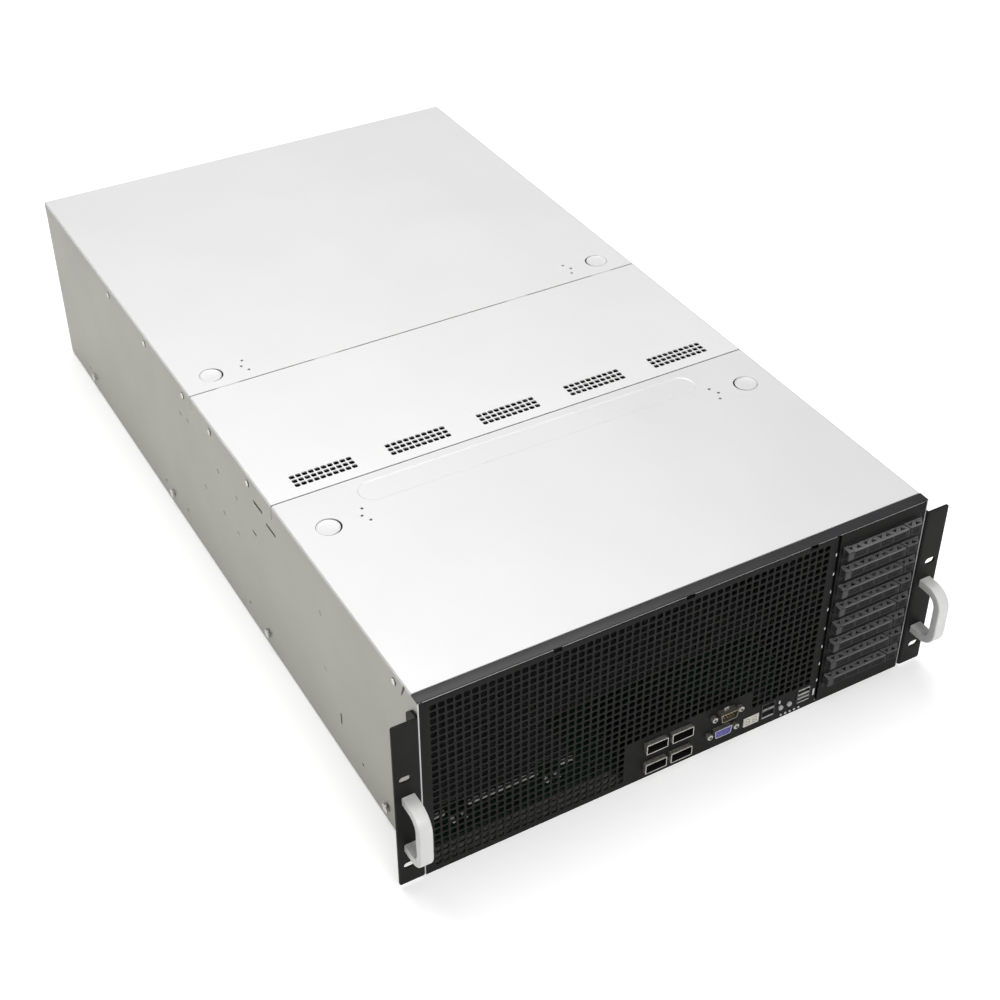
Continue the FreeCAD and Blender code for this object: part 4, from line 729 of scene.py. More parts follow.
def bayFrame():
    b = bayShape
    bm = bmesh.new()
    bendStart = b["high"] - b["bend"]
    blankTop = bendStart + foldedLength(b["fold"] - b["bend"], b["bend"], b["gauge"])
    edges = addRect(bm, (b["left"], b["right"]), (b["low"], blankTop))
    edges += addRect(bm, (b["openLeft"], b["openRight"]), (trayTop(8), b["top"]), 0.4, 2)
    fillBetween(bm, edges)
    thicken(bm, b["gauge"])
    foldDown(bm, bendStart, b["bend"], b["gauge"], 1, "y")
    standUp(bm)
    addBlock(bm, (217.4, 219.1), (-0.04, 0.4), (0.05, 174.3), 0.1)
    # painted shade: a dark sheet behind the slit between the bay and the perforated panel, for the shaded recess
    # there
    addBlock(bm, (133.8, 137.4), (2.4, 3.0), (1.3, 173.0), index=1)
    addBlock(bm, (133.8, 137.4), (1.3, 8.0), (173.0, 173.4), index=1)
    finishPiece(bm, "bay_frame", "case", "frontBlack", ["drive_bay_frame"],
                rest=("socketBlack",))
    # bright windows in the seam beside the bay, one beside each tray, and the tall one near the sockets
    bm = bmesh.new()
    for z in b["windows"]:
        addBlock(bm, (133.3, 134.5), (-0.1, 0.9), around(z, 1.4), 0.2)
    addBlock(bm, (131.2, 133.2), (-0.12, 0.5), (9.6, 17.0), 0.25)
    finishPiece(bm, "seam_windows", "case", "lensWhite")


def addTriangles(bm, first, count, spacing):
    half = trayShape["side"] / 2
    back, front = -1.25, -trayShape["reach"] + 1.4
    edges = []
    for index in range(count):
        x = first + index * spacing
        broad, point = (front, back) if index % 2 else (back, front)
        edges += addOutline(bm, [(x - half, broad), (x + half, broad), (x, point)], 0.3, 2)
    return edges


def slopeLedge(bm, top):
    # the upper side falls a little towards the front
    t = trayShape
    for vert in bm.verts:
        if vert.co.z > top - t["top"] - 3.0 and vert.co.y < 0:
            vert.co.z -= t["drop"] * min(-vert.co.y / t["reach"], 1)


def addLedge(bm, plan, holes, top, index):
    # the top sheet with its truss of triangular holes
    t = trayShape
    part = bmesh.new()
    edges = addOutline(part, plan, 0.45, 3)
    fillBetween(part, edges + addTriangles(part, *holes))
    thicken(part, t["sheet"])
    paintFaces(part.faces, index)
    copyInto(bm, part, moveBy(0, 0, top - t["top"]))


def addWall(bm, start, end, low, high, slots=(), rows=(), index=0):
    # an upright sheet from start to end, seen from above, with its thickness to the left of that line
    length = math.dist(start, end)
    part = bmesh.new()
    edges = addRect(part, (0, length), (low, high), 0.25, 2)
    for x0, x1 in slots:
        for row in rows:
            edges += addRect(part, (x0, x1), (low + row - 0.4, low + row + 0.4), 0.3, 2)
    fillBetween(part, edges)
    thicken(part, trayShape["sheet"])
    paintFaces(part.faces, index)
    turned = turnBy(math.degrees(math.atan2(end[1] - start[1], end[0] - start[0])), "Z")
    placeAll(part, moveBy(*start) @ turned @ upright)
    copyInto(bm, part)


def addLug(bm, low, high):
    # holds the hinge pin and runs back to the tray's face
    t = trayShape
    part = bmesh.new()
    points = [(-1.3, -0.9), (-0.4, -1.5), (1.3, -1.5), (3.4, 0.6), (3.4, 2.2), (0.3, 2.2), (-1.3, 0.5)]
    fillBetween(part, addOutline(part, [(t["hingeX"] + x, t["hingeY"] + y) for x, y in points], 0.25, 2))
    thicken(part, high - low)
    copyInto(bm, part, moveBy(0, 0, high))


def trayLever(index):
    t = trayShape
    top = trayTop(index)
    low = top - t["top"] - t["height"]
    high = top - t["top"] - 0.35
    front, back = -t["reach"], -0.3
    bm = bmesh.new()
    # hinge barrel with its bore, and the rib that joins it to the front wall
    barrel = bmesh.new()
    x, y = t["hingeX"], t["hingeY"]
    fillBetween(barrel, addRing(barrel, x, y, 1.5, 24) + addRing(barrel, x, y, 0.85, 16))
    thicken(barrel, t["height"] - 4.6)
    copyInto(bm, barrel, moveBy(0, 0, low + t["height"] - 3.0))
    addBlock(bm, around(x, 0.5), (front + 0.6, y - 1.3), (low + 1.7, low + t["height"] - 3.1), 0.1)
    # the ledge takes the lit copy of the plastic (index 1), and the slotted front wall the shaded copy (index
    # 2): painted light and shade
    addLedge(bm, [(t["heel"], back), (t["end"], back), (t["endFront"], front), (t["nose"], front)],
             (x + 2.2, 8, t["truss"]), top, 1)
    noseEnd, faceY = t["nose"] + t["noseLength"], front + t["slant"]
    dashes = [(x, x + 11.0) for x in evenly(1.2, 12.7, 4)]
    addWall(bm, (t["heel"], back), (t["nose"], front), low, high, [(1.0, 4.9)], t["heelRows"])
    addWall(bm, (t["nose"], front), (noseEnd, front), low, high)
    addWall(bm, (noseEnd, faceY), (t["endFront"], faceY), low, high, dashes, t["slotRows"], 2)
    addWall(bm, (t["endFront"], front), (t["end"], back), low, high)
    slopeLedge(bm, top)
    name = f"lever_{index + 1}"
    finishPiece(bm, name + "_look", name, "leverPlastic", ["tray_" + name],
                rest=("ledgePlasticLit", "wallPlasticShaded"))


def driveTray(index):
    b, t = bayShape, trayShape
    top = trayTop(index)
    left, right = b["openLeft"] + t["gap"], b["openRight"] - t["gap"]
    low, upper = top - b["pitch"] + t["gap"] / 2, top - t["gap"] / 2
    zLow = top - t["top"] - t["height"]
    bm = bmesh.new()
    # front plate with slots for air, open at the left where the lever's heel swings in
    part = bmesh.new()
    openLow, openHigh, openRight = zLow - 0.4, top - t["top"] + 0.25, t["hingeX"] + 2.9
    outside, opening = corners((left, right), (low, upper)), corners((left, openRight), (openLow, openHigh))
    edges = addOutline(part, outside + opening[::-1])
    for x in evenly(left + 4, 7.9, 9):
        edges += addRect(part, (x, x + 5.6), (low + 0.9, low + 3.0), 0.5, 2)
        if x > left + 4:
            edges += addRect(part, (x, x + 5.6), (zLow + 1.2, zLow + 6.4), 0.5, 2)
    addUpright(bm, part, edges, t["face"])
    # fixed catch at the right
    front, catch = -t["reach"], t["catch"]
    catchEnd = right - t["catchSlant"]
    high = top - t["top"] - 0.35
    nearEnd, farEnd = (t["catchFront"], front), (catchEnd, front)
    dash = (2.0, catchEnd - t["catchFront"] - 2.0)
    # the catch's ledge takes the lit copy of the plastic and its slotted front wall the shaded copy: painted
    # light and shade
    addLedge(bm, [(catch, 0), (right, 0), farEnd, nearEnd], (catch + 4.8, 2, 6.4), top, 2)
    addWall(bm, (catch, 0), nearEnd, zLow, high)
    addWall(bm, nearEnd, farEnd, zLow, high, [dash], t["slotRows"], 3)
    addWall(bm, farEnd, (right, 0), zLow, high)
    slopeLedge(bm, top)
    addLug(bm, zLow + 0.1, zLow + 1.3)
    addLug(bm, zLow + t["height"] - 2.8, zLow + t["height"] - 1.7)
    addRod(bm, "z", (t["hingeX"], t["hingeY"]), 0.75, (zLow + 0.2, zLow + t["height"] - 1.8), 12)
    # side rails and the drive
    railLow = top - b["pitch"] + 0.9
    middle = (b["openLeft"] + b["openRight"]) / 2
    for x0, x1 in ((left, middle - 35.025), (middle + 35.025, right)):
        addBlock(bm, (x0, x1), (t["face"], 112), (railLow, railLow + 11.6), 0.3)
    addBlock(bm, around(middle, 34.925), (9.5, 109.9), (railLow + 0.5, railLow + 15.5), 0.6, 1, 2)
    addBlock(bm, around(middle, 31), (14, 104), (railLow + 15.5, railLow + 15.7), 0.1, 1)
    name = f"tray_{index + 1}"
    finishPiece(bm, name + "_look", name, "trayPlastic", ["drive_" + name],
                rest=("innerSteel", "ledgePlasticLit", "wallPlasticShaded"))


bayFrame()
for index in range(8):
    driveTray(index)
    trayLever(index)
print("drive bay made")


# Sides of the case: a flat sheet with the wall's slots, and the rivets and small holes seen in it

sideShape = dict(inner=219.05, outer=220.1, low=1.2, skirt=162.35, top=174.4, coverFront=10.2, back=801.7,
                 slots=((134.5, 137, 35, 47), (283, 291, 116.4, 118.6), (239, 257, 146.5, 149.5),
                        (263, 281, 153, 156)),
                 rivets=((161, 130), (161, 73), (322, 129), (361, 131), (327, 88.5), (358, 89), (400, 89),
                         (426, 142), (444, 139)),
                 holes=((100, 23), (319, 19), (463, 20), (519, 17), (735, 18)))


def sideSheet(side, hand):
    s = sideShape
    bm = bmesh.new()
    low, skirt, top, front, back = s["low"], s["skirt"], s["top"], s["coverFront"], s["back"]
    edges = addOutline(bm, [(0.1, low), (back, low), (back, skirt), (front, skirt), (front, top), (0.1, top)])
    for y0, y1, z0, z1 in s["slots"]:
        edges += addRect(bm, (y0, y1), (z0, z1), 0.9, 3)
    for y, z in s["holes"]:
        edges += addRing(bm, y, z, 1.5, 14)
    fillBetween(bm, edges)
    thicken(bm, s["outer"] - s["inner"])
    # the front edge is bare, and takes the lighter steel as a painted highlight
    paintFaces([face for face in bm.faces if face.calc_center_median().x < 0.2], 1)
    # from the drawn plane (y, z, thickness) to the side of the case
    place = Matrix(((0, 0, side, side * s["outer"]), (1, 0, 0, 0), (0, 1, 0, 0), (0, 0, 0, 1)))
    placeAll(bm, place)
    # painted shade: black discs just inside the small holes, so they look shaded
    for y, z in s["holes"]:
        addRod(bm, "x", (y, z), 1.9, (side * (s["inner"] - 0.02), side * (s["inner"] + 0.1)), 14, 0, 2)
    # the side sheet takes the darker case steel, painted shade on the side walls
    finishPiece(bm, "side_sheet_" + hand, "case", "caseSteelShaded",
                rest=("supplySteel", "socketBlack"))
    # rivets: low domes with a flat middle, in the darker case steel (painted shade)
    bm = bmesh.new()
    part = bmesh.new()
    profile = [(2.3, 0), (2.25, 0.2), (1.7, 0.52), (0.9, 0.66), (0.7, 0.6), (0, 0.6)]
    spinProfile(part, profile, 20)
    copyInto(bm, part, *[place @ moveBy(y, z, 0) for y, z in s["rivets"]])
    finishPiece(bm, "side_rivets_" + hand, "case", "caseSteelShaded")


def deckLip():
    # bare upturned edge of the deck between its notches, and the small clips that stand in them, painted near
    # white as their highlight
    bm = bmesh.new()
    for ends in ((-213, -198.7), (-179.3, -120.7), (-101.3, -90)):
        addBlock(bm, ends, (7.5, 8.4), (45.6, 50.2), 0.15)
    for x in (-193.5, -184.5, -115.5, -106.5):
        addBlock(bm, around(x, 1.6), (1.6, 7.0), (40.4, 41.0), 0.1)
    finishPiece(bm, "deck_lip", "case", "lipSteelHighlight")


deckLip()
for side, hand in hands:
    sideSheet(side, hand)
print("sides made")


# Connectors

def networkCages():
    bm = bmesh.new()
    # one bare cage in front of the panel: four walls, a rolled rim and spring fingers on top
    part = bmesh.new()
    edges = addRect(part, (-9.8, 9.8), (-4.9, 4.9), 0.7, 3)
    edges += addRect(part, (-9.1, 9.1), (-4.2, 4.2), 0.4, 3)
    fillBetween(part, edges)
    thicken(part, 5.4)
    bevelAll(part, frontRim(part), 0.2, 2)
    standUp(part, -4.0)
    addShell(part, corners((-9.8, 9.8), (-4.9, 4.9)), 1.45, 42, 0.7, 2, 0.7)
    for x in evenly(-8.1, 2.7, 7):
        finger = bmesh.new()
        addBlock(finger, around(x, 0.8), (-3.5, -0.2), (4.88, 5.12), 0.08, 1)
        for vert in finger.verts:
            vert.co.z += 0.28 * max(0, 1 - abs(vert.co.y + 1.6) / 1.7)
        copyInto(part, finger)
    for side in (-1, 1):
        for z in (-2, 1.6):
            addBlock(part, (side * 9.72, side * 9.95), (-3.5, -0.3), around(z, 0.7), 0.08, 1)
    # the socket's dark inside with its contact tongue
    addBlock(part, (-9.1, 9.1), (37, 38), (-4.2, 4.2), index=2)
    addBlock(part, (-6.2, 6.2), (4, 37), (-1.2, 0.4), 0.2, 2)
    for x in evenly(-5.4, 1.2, 10):
        addBlock(part, around(x, 0.25), (4.2, 20), (0.38, 0.5), index=3)
    for face in part.faces:
        spot = face.calc_center_median()
        if face.material_index == 0 and abs(spot.x) < 9.3 and abs(spot.z) < 4.4 and spot.y > -3.7:
            face.material_index = 2
    copyInto(bm, part, *[moveBy(x, 0, z) for x in portShape["cageX"] for z in portShape["cageZ"]])
    # painted shade: the cage block behind the panel is black, for the shade behind the panel
    addBlock(bm, (-31.65, 11.45), (42.2, 44), (7.95, 39.1), 0.2, 2)
    for x in (-12.05, -31.7):
        addBlock(bm, (x, x + 0.5), (1.6, 44), (7.95, 39.0), index=2)
    addBlock(bm, (-31.65, 11.45), (1.6, 44), (22.6, 24.6), 0.1, 2)
    finishPiece(bm, "cage_block", "case", "cageNickel", ["network_cages"],
                rest=("screwSteel", "socketBlack", "pinGold"))


def addShell(bm, points, y0, y1, wall, index=0, round=1.1):
    # a thin metal shell round a socket, open at the front
    part = bmesh.new()
    xs, zs = zip(*points)
    middleX, middleZ = sum(xs) / 4, (min(zs) + max(zs)) / 2
    narrow, flat = 1 - 2 * wall / (max(xs) - min(xs)), 1 - 2 * wall / (max(zs) - min(zs))
    inner = [((x - middleX) * narrow + middleX, (z - middleZ) * flat + middleZ) for x, z in points]
    edges = addOutline(part, points, round, 4) + addOutline(part, inner, round * 0.8, 4)
    addUpright(bm, part, edges, y1 - y0, y0, index)


def addPlug(bm, points, y0, y1, index, round=0.9):
    part = bmesh.new()
    addUpright(bm, part, addOutline(part, points, round, 4), y1 - y0, y0, index)


def serialPort():
    bm = bmesh.new()
    x, z = portShape["serial"]
    addShell(bm, dShape(x, z, *portShape["shell"]), -6.0, 1.0, 0.55)
    addPlug(bm, dShape(x, z, 15.2, 6.9, 1.1), -0.6, 1.0, 1)
    for count, dz in ((5, 1.35), (4, -1.35)):
        for pinX in evenly(x - (count - 1) * 1.37, 2.74, count):
            addRod(bm, "y", (pinX, z + dz), 0.5, (-4.6, -0.5), 10, 0.15, 2)
    # dimples on the shell and the bright clip on top
    for dimpleX in evenly(x - 5.3, 3.6, 4):
        addBlock(bm, around(dimpleX, 0.7), (-4.4, -2.6), around(z + 4.2, 0.12), 0.08)
    addBlock(bm, around(x, 2.3), (-1.6, -0.1), (z + 4.2, z + 5.7), 0.3, 3, 2)
    addBlock(bm, around(x, 15.4), (1.5, 15.5), (23.9, 41.0), 0.4, 1)
    finishPiece(bm, "serial_shell", "case", "serialTin", ["serial_port"],
                rest=("socketBlack", "pinGold", "cutSteel"))


def videoPort():
    bm = bmesh.new()
    x, z = portShape["video"]
    addShell(bm, dShape(x, z, *portShape["shell"]), -4.0, 1.0, 0.55, 2)
    addPlug(bm, dShape(x, z, 15.4, 7.0, 1.1), -3.9, 1.0, 0)
    for dx, dz in ((-0.3, 1.9), (0.8, 0), (-0.3, -1.9)):
        for pinX in evenly(x + dx - 4.6, 2.3, 5):
            addRod(bm, "y", (pinX, z + dz), 0.45, (-3.96, -3.7), 8, 0, 1)
    addBlock(bm, around(x, 15.4), (1.5, 15.5), (7.95, 23.6), 0.4)
    finishPiece(bm, "video_shell", "case", "videoBlue", ["video_port"],
                rest=("socketBlack", "screwSteel"))


def jackScrews():
    bm = bmesh.new()
    part = bmesh.new()
    addRod(part, "y", (0, 0), 2.75, (-4.3, -0.05), 6, 0.35)
    addRod(part, "y", (0, 0), 1.75, (-4.6, -4.2), 20, 0.15)
    addRod(part, "y", (0, 0), 1.25, (-4.62, -4.5), 16, 0, 1)
    places = (portShape["serial"], portShape["video"])
    copyInto(bm, part, *[moveBy(spot, 0, z) for x, z in places for spot in around(x, 12.5)])
    finishPiece(bm, "jack_screws", "case", "screwSteel", ["port_jackscrews"],
                rest=("socketBlack",))


def stackedPorts():
    bm = bmesh.new()
    for x, gap in zip(portShape["stackX"], (6.2, 5.1)):
        part = bmesh.new()
        edges = addRect(part, around(x, 6.5), (8.0, 23.6), 0.5, 2)
        for z in portShape["stackZ"]:
            edges += addRect(part, around(x, 5.7), around(z, gap / 2), 0.35, 2)
        fillBetween(part, edges)
        thicken(part, 18.0)
        bevelAll(part, frontRim(part), 0.18, 2)
        standUp(part, -0.55)
        copyInto(bm, part)
        for z in portShape["stackZ"]:
            addBlock(bm, around(x, 5.7), (14, 15), around(z, gap / 2), index=1)
            if gap > 6:
                for pinX in evenly(x - 3.6, 1.03, 8):
                    addBlock(bm, around(pinX, 0.25), (1.2, 8), around(z + gap / 2 - 0.7, 0.2), index=2)
            else:
                addBlock(bm, around(x, 4.9), (1.0, 12), (z - 0.3, z + 1.3), 0.15, 3)
                for pinX in evenly(x - 3.4, 2.3, 4):
                    addBlock(bm, around(pinX, 0.5), (1.4, 9), (z - 0.42, z - 0.28), index=2)
        addBlock(bm, around(x, 6.5), (2.5, 18.5), (7.95, 8.3), 0.1)
        for z in ((8.9, 17.4) if gap > 6 else (9.0, 12.7, 17.2, 21.9)):
            addBlock(bm, around(x, 5.6), (-0.75, 0.3), around(z, 0.32), 0.1, 4)
    finishPiece(bm, "socket_stacks", "case", "cardShell", ["stacked_ports"],
                rest=("socketBlack", "pinGold", "segmentGrey", "cutSteel"))


def codeDisplay():
    bm = bmesh.new()
    (left, right), (low, high) = portShape["displayX"], portShape["displayZ"]
    addBlock(bm, (left + 0.3, right - 0.3), (-0.35, 16), (low + 0.3, high - 0.3), 0.35, 0, 2)
    # two blank digits of seven faint segments each
    for x in (67.2, 74.0):
        for z in (9.2, 12.0, 14.8):
            addBlock(bm, around(x, 1.3), (-0.42, -0.3), around(z, 0.3), 0.08, 1)
        for dx in (-1.75, 1.75):
            for z in (10.6, 13.4):
                addBlock(bm, around(x + dx, 0.3), (-0.42, -0.3), around(z, 1.0), 0.08, 1)
    finishPiece(bm, "digit_display", "case", "displayCream", ["code_display"],
                rest=("segmentGrey",))


def pressButtons():
    for kind in ("power", "identify"):
        bm = bmesh.new()
        profile = [(0, -1.15), (1.35, -1.2), (1.6, -1.4), (2.0, -1.38), (2.25, -1.1), (2.25, 8.0), (0, 8.0)]
        spinProfile(bm, profile, 28, "y")
        shift(bm, portShape[kind + "X"], 0, portShape["buttonZ"])
        node = kind + "_button"
        finishPiece(bm, node + "_look", kind + "_key", "buttonPlastic", [node])


def statusLights():
    bm = bmesh.new()
    for x in portShape["lightX"]:
        addRod(bm, "y", (x, portShape["lightZ"]), 1.08, (-0.28, 6), 14, 0.25)
    addBlock(bm, (97.2, 98.9), (-0.15, 0.6), (16.4, 20.0), 0.2)
    finishPiece(bm, "status_lenses", "case", "lensWhite", ["status_lights"])


networkCages()
serialPort()
videoPort()
jackScrews()
stackedPorts()
codeDisplay()
pressButtons()
statusLights()
print("connectors made")


# Accelerator cards: a shell open at the front, fins inside, and a slotted bracket at the back

cardShape = dict(pitch=51.0, half=19.3, front=534.5, back=800.5, low=60.2, high=165.2,
                 bracketX=(-20.0, 20.0), bracketZ=(57.2, 167.2), slots=(-12.6, 0, 12.6), slotRows=13)


def acceleratorCards():
    c = cardShape
    inside = (c["low"] + 9, c["high"] - 8)
    card = bmesh.new()
    edges = addRect(card, (-c["half"], c["half"]), (c["low"], c["high"]), 2.0, 3)
    edges += addRect(card, (-c["half"] + 2.2, c["half"] - 2.2), inside, 1.0, 2)
    fillBetween(card, edges)
    thicken(card, c["back"] - c["front"] - 1.0)
    standUp(card, c["front"])
    # fins at both ends, and the closed middle between them
    for x in evenly(-15.6, 2.6, 13):
        for y0, y1 in ((c["front"] + 3, c["front"] + 48), (c["back"] - 40, c["back"] - 2)):
            addBlock(card, around(x, 0.3), (y0, y1), inside, index=1)
    addBlock(card, (-17.1, 17.1), (c["front"] + 48, c["back"] - 40), inside)
    # raised spine, grooves and screws on the upper side
    addBlock(card, (-7.5, 7.5), (c["front"] + 20, c["back"] - 24), around(c["high"] + 0.3, 0.5), 0.5, 0, 2)
    for x in (-15, 15):
        for y in evenly(c["front"] + 14, 58, 5):
            addRod(card, "z", (x, y), 1.7, (c["high"] - 0.1, c["high"] + 0.5), 14, 0.2, 1)
    addBlock(card, (-1.1, 1.1), (c["back"] - 150, c["back"] - 60), (c["low"] - 4.6, c["low"] + 0.5), index=2)
    plate = bmesh.new()
    edges = addRect(plate, c["bracketX"], c["bracketZ"], 1.2, 3)
    for x in c["slots"]:
        for z in evenly(c["low"] + 12, 6.6, c["slotRows"]):
            edges += addRect(plate, around(x, 5.2), around(z, 1.9), 1.8, 3)
    addUpright(card, plate, edges, 1.0, c["back"] - 1.0, 3)
    bm = bmesh.new()
    copyInto(bm, card, *[moveBy(x) for x in evenly(-3.5 * c["pitch"], c["pitch"], 8)])
    finishPiece(bm, "card_row", "case", "cardShell", ["accelerator_cards"],
                rest=("sinkAluminium", "pinGold", "supplySteel"))


# Power supplies: a long sheet box with a fan, an inlet, a handle and a latch at the back

supplyShape = dict(pitch=80.0, half=36.75, low=1.5, high=41.5, front=537.0, split=786.0, back=802.0,
                   fanX=-16.75, fanRadius=16.0, inlet=(3.75, 30.75), inletHalf=10.0, handle=(-34.75, 1.25),
                   reach=826.0, bar=5.0, lamp=(33.6, 36.5), latchX=33.75)


def powerSupply(index):
    s = supplyShape
    middle = (s["low"] + s["high"]) / 2
    bm = bmesh.new()
    addBlock(bm, (-s["half"], s["half"]), (s["front"], s["split"]), (s["low"], s["high"]), 0.7, 0, 2)
    for y in range(556, 780, 36):
        for x in (-s["half"] + 5, s["half"] - 5):
            addRod(bm, "z", (x, y), 1.5, (s["high"] - 0.1, s["high"] + 0.28), 12, 0.12)
    outer = corners((-s["half"], s["half"]), (s["low"], s["high"]))
    addShell(bm, outer, s["split"], s["back"] - 1.0, 1.0, 0, 0.8)
    # back sheet with the fan's round opening, the inlet's opening and a small lamp
    x0, x1 = s["inlet"]
    plate = bmesh.new()
    edges = addOutline(plate, outer, 0.8, 2)
    edges += addRing(plate, s["fanX"], middle, s["fanRadius"], 40)
    edges += addRect(plate, (x0, x1), around(middle, s["inletHalf"]), 1.5, 3)
    edges += addRing(plate, *s["lamp"], 1.4, 14)
    addUpright(bm, plate, edges, 1.0, s["back"] - 1.0)
    addRod(bm, "y", s["lamp"], 1.3, (s["back"] - 2, s["back"] + 0.3), 12, 0.2, 3)
    # wire guard, hub and blades
    for radius in (4.5, 8.2, 11.9, 15.4):
        guard = bmesh.new()
        edges = addRing(guard, s["fanX"], middle, radius, 36)
        edges += addRing(guard, s["fanX"], middle, radius - 0.75, 36)
        addUpright(bm, guard, edges, 0.7, s["back"] - 1.6)
    for turn in (45, 135):
        spoke = bmesh.new()
        addBlock(spoke, (-16.2, 16.2), (s["back"] - 0.9, s["back"] - 0.3), (-0.4, 0.4))
        copyInto(bm, spoke, moveBy(s["fanX"], 0, middle) @ turnBy(turn, "Y"))
    addRod(bm, "y", (s["fanX"], middle), 7.0, (s["split"] + 4, s["back"] - 3), 28, 0.8, 1)
    for k in range(7):
        blade = bmesh.new()
        addBlock(blade, (6.0, 15.2), (-3.5, 3.5), (-0.5, 0.5), 0.2, 1)
        placeAll(blade, turnBy(38, "X"))
        copyInto(bm, blade, moveBy(s["fanX"], s["back"] - 9, middle) @ turnBy(360 * k / 7, "Y"))
    # inlet of black plastic with three blades
    outer = corners((x0 + 0.2, x1 - 0.2), around(middle, s["inletHalf"] - 0.2))
    addShell(bm, outer, s["split"] + 0.2, s["back"] + 0.1, 1.6, 1, 1.5)
    back = (s["split"] + 0.1, s["split"] + 1.0)
    addBlock(bm, (x0 + 0.3, x1 - 0.3), back, around(middle, s["inletHalf"] - 0.3), index=1)
    for k, dz in ((-1, -1.5), (0, 2.5), (1, -1.5)):
        x = (x0 + x1) / 2 + 7 * k
        addBlock(bm, around(x, 1), (s["split"] + 1, s["back"] - 4), around(middle + dz, 2.2), 0.3, 2)
    # handle of round bar, and the latch
    left, right = s["handle"]
    radius = s["bar"] / 2
    for x in (left + radius, right - radius):
        addRod(bm, "y", (x, middle), radius * 0.8, (s["back"], s["reach"] - radius * 0.8), 18, 0.2, 1)
        addRod(bm, "y", (x, middle), radius * 1.15, (s["back"] - 0.1, s["back"] + 1.6), 18, 0.4, 1)
    addRod(bm, "x", (s["reach"] - radius * 0.8, middle), radius * 0.8, (left, right), 18, 0.8, 1)
    addBlock(bm, around(s["latchX"], 2), (s["back"] - 0.2, s["back"] + 10), around(middle, 7), 0.8, 1, 3)
    rib = (s["latchX"] - 2.2, s["latchX"] - 1.75)
    for dz in (-4, -1.3, 1.3, 4):
        addBlock(bm, rib, (s["back"] + 2.5, s["back"] + 9.2), around(middle + dz, 0.4), 0.1, 1)
    shift(bm, s["pitch"] * (index - 1.5))
    name = f"supply_{index + 1}"
    finishPiece(bm, name + "_look", name, "supplySteel", ["power_" + name],
                rest=("fanPlastic", "screwSteel", "lensWhite"))


acceleratorCards()
for index in range(4):
    powerSupply(index)
print("cards and supplies made")


# Carried-over nodes get their finish

nodeFinish = {
    # painted shade: the chassis tray takes the darker case steel
    "chassis_tray": "caseSteelShaded", "deck_plate": "shadedSteel", "rear_panel": "innerSteel",
    "handle_screws": "screwSteel", "rail_studs": "screwSteel", "drive_cage": "shadedSteel",
    # painted shade: the boards take the darkened green
    "drive_backplane": "boardGreenShaded", "motherboard": "boardGreenShaded", "processor_heat_sinks": "sinkAluminium",
    "memory_modules": "boardBlack", "fan_wall": "innerSteel", "fan_frames": "fanPlastic",
    "accelerator_board": "boardBlack", "power_cage": "innerSteel", "power_board": "boardGreenShaded",
}
for index in range(5):
    nodeFinish[f"fan_rotor_{index + 1}"] = "rotorPlastic"
for name, coat in nodeFinish.items():
    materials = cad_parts[name].data.materials
    materials.clear()
    materials.append(finish[coat])
print("carried-over nodes finished")


# Studio

studio = dict(
    world=0.46, floor=0.86, floorRadius=14, floorDrop=0.0005, glow=(0.45, 1.0), glowReach=(1.6, 4.0),
    # place, power and size of each lamp, all turned towards the aim
    aim=(0, 0, 0.08),
    lamps=dict(keyLamp=((0.7, -1.2, 2.8), 12, 2.6), topLamp=((-0.05, 0.75, 2.7), 70, 2.8),
               frontLamp=((-0.15, -2.45, 1.85), 31, 2.0), fillLamp=((-2.6, -0.6, 1.6), 1.6, 2.2)),
    # camera solved from the photograph's perspective, its place told from the front plane
    lens=60.205, cameraPlace=(-0.55986, -0.71311, 0.96528), azimuth=-29.4982, elevation=38.1405, roll=-0.2066)


def seenRays(nodes):
    # 1 for what the camera sees, also mirrored or through something clear, and 0 for the light on the object
    rays = addNode(nodes, "LightPath", {})
    seen = addNode(nodes, "Math", {0: rays["Is Camera Ray"], 1: rays["Is Glossy Ray"]}, "MAXIMUM")
    return addNode(nodes, "Math", {0: seen[0], 1: rays["Is Transmission Ray"]}, "MAXIMUM")[0]


def addWorld():
    world = bpy.data.worlds.new("studioWorld")
    world.use_nodes = True
    bpy.context.scene.world = world
    nodes = world.node_tree.nodes
    level = addNode(nodes, "MapRange", {"Value": seenRays(nodes), "To Min": studio["world"], "To Max": 1.0})
    setInputs(nodes["Background"], {"Strength": level["Result"]})


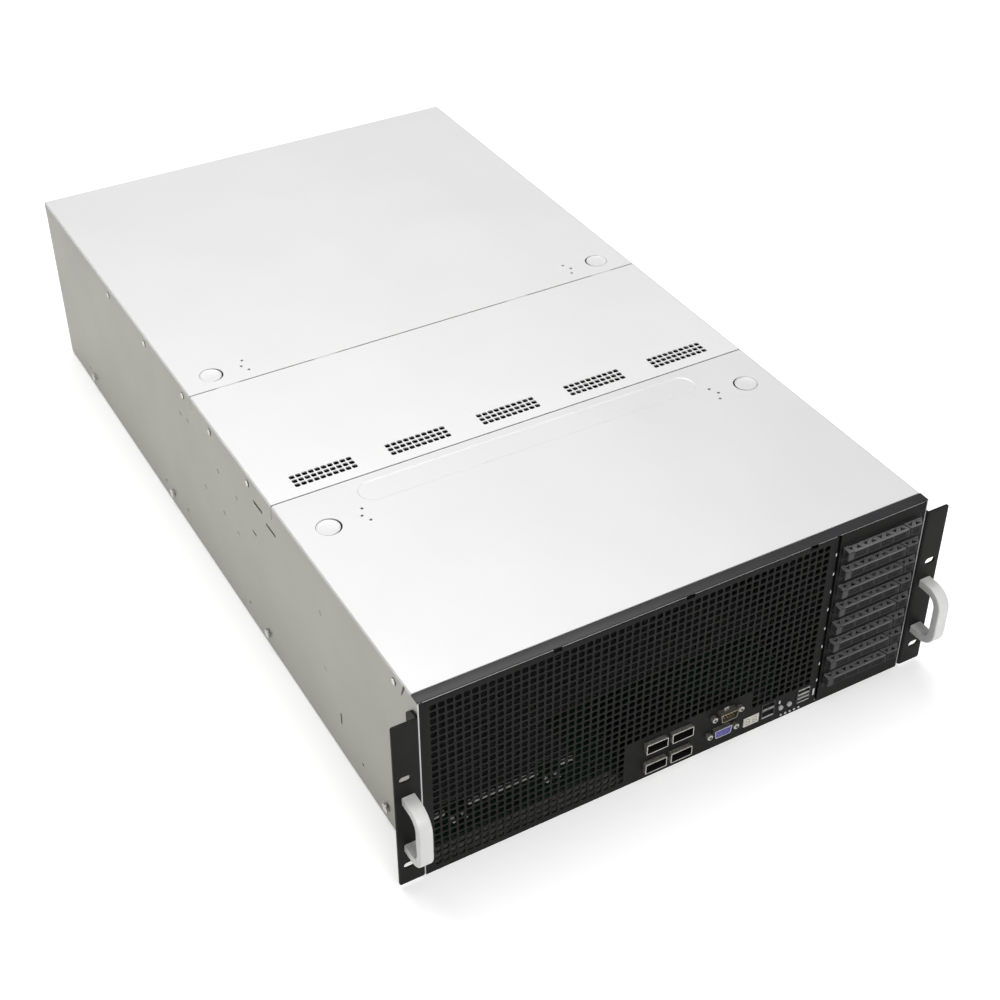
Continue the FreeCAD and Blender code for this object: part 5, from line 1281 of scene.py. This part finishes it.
def addFloor():
    bm = bmesh.new()
    bmesh.ops.create_circle(bm, cap_ends=True, radius=studio["floorRadius"], segments=96)
    mesh = bpy.data.meshes.new("studioFloor")
    bm.to_mesh(mesh)
    bm.free()
    floor = bpy.data.objects.new("studioFloor", mesh)
    bpy.context.scene.collection.objects.link(floor)
    floor.location.z = -studio["floorDrop"]
    made = bpy.data.materials.new("floorWhite")
    made.use_nodes = True
    nodes = made.node_tree.nodes
    # the floor runs out into white far from the object
    away = addNode(nodes, "VectorMath", {0: addNode(nodes, "TexCoord", {})["Object"]}, "LENGTH")["Value"]
    (near, far), (dim, full) = studio["glowReach"], studio["glow"]
    spread = {"Value": away, "From Min": near, "From Max": far, "To Min": dim, "To Max": full}
    glow = addNode(nodes, "MapRange", spread)["Result"]
    shown = addNode(nodes, "Math", {0: glow, 1: seenRays(nodes)}, "MULTIPLY")[0]
    setInputs(nodes["Principled BSDF"], {"Base Color": (*grey(studio["floor"]), 1), "Roughness": 0.9,
                                         "Emission Color": (1, 1, 1, 1), "Emission Strength": shown})
    mesh.materials.append(made)


def addLamps():
    for name, (spot, power, size) in studio["lamps"].items():
        lamp = bpy.data.lights.new(name, "AREA")
        lamp.energy = power
        lamp.size = size
        lamp.shape = "DISK"
        placed = bpy.data.objects.new(name, lamp)
        placed.location = spot
        placed.rotation_euler = (Vector(studio["aim"]) - Vector(spot)).to_track_quat("-Z", "Y").to_euler()
        bpy.context.scene.collection.objects.link(placed)


def addCamera():
    s = studio
    camera = bpy.data.cameras.new("photoCamera")
    camera.sensor_width = 36
    camera.lens = s["lens"]
    camera.clip_start, camera.clip_end = 0.05, 60
    placed = bpy.data.objects.new("photoCamera", camera)
    placed.location = Vector(s["cameraPlace"]) + Vector((0, frontY, 0))
    level = Euler((math.radians(90 - s["elevation"]), 0, math.radians(s["azimuth"]))).to_matrix()
    placed.rotation_euler = (level @ Matrix.Rotation(math.radians(s["roll"]), 3, "Z")).to_euler()
    bpy.context.scene.collection.objects.link(placed)
    bpy.context.scene.camera = placed


bpy.context.scene.view_settings.view_transform = "Standard"
addWorld()
addFloor()
addLamps()
addCamera()
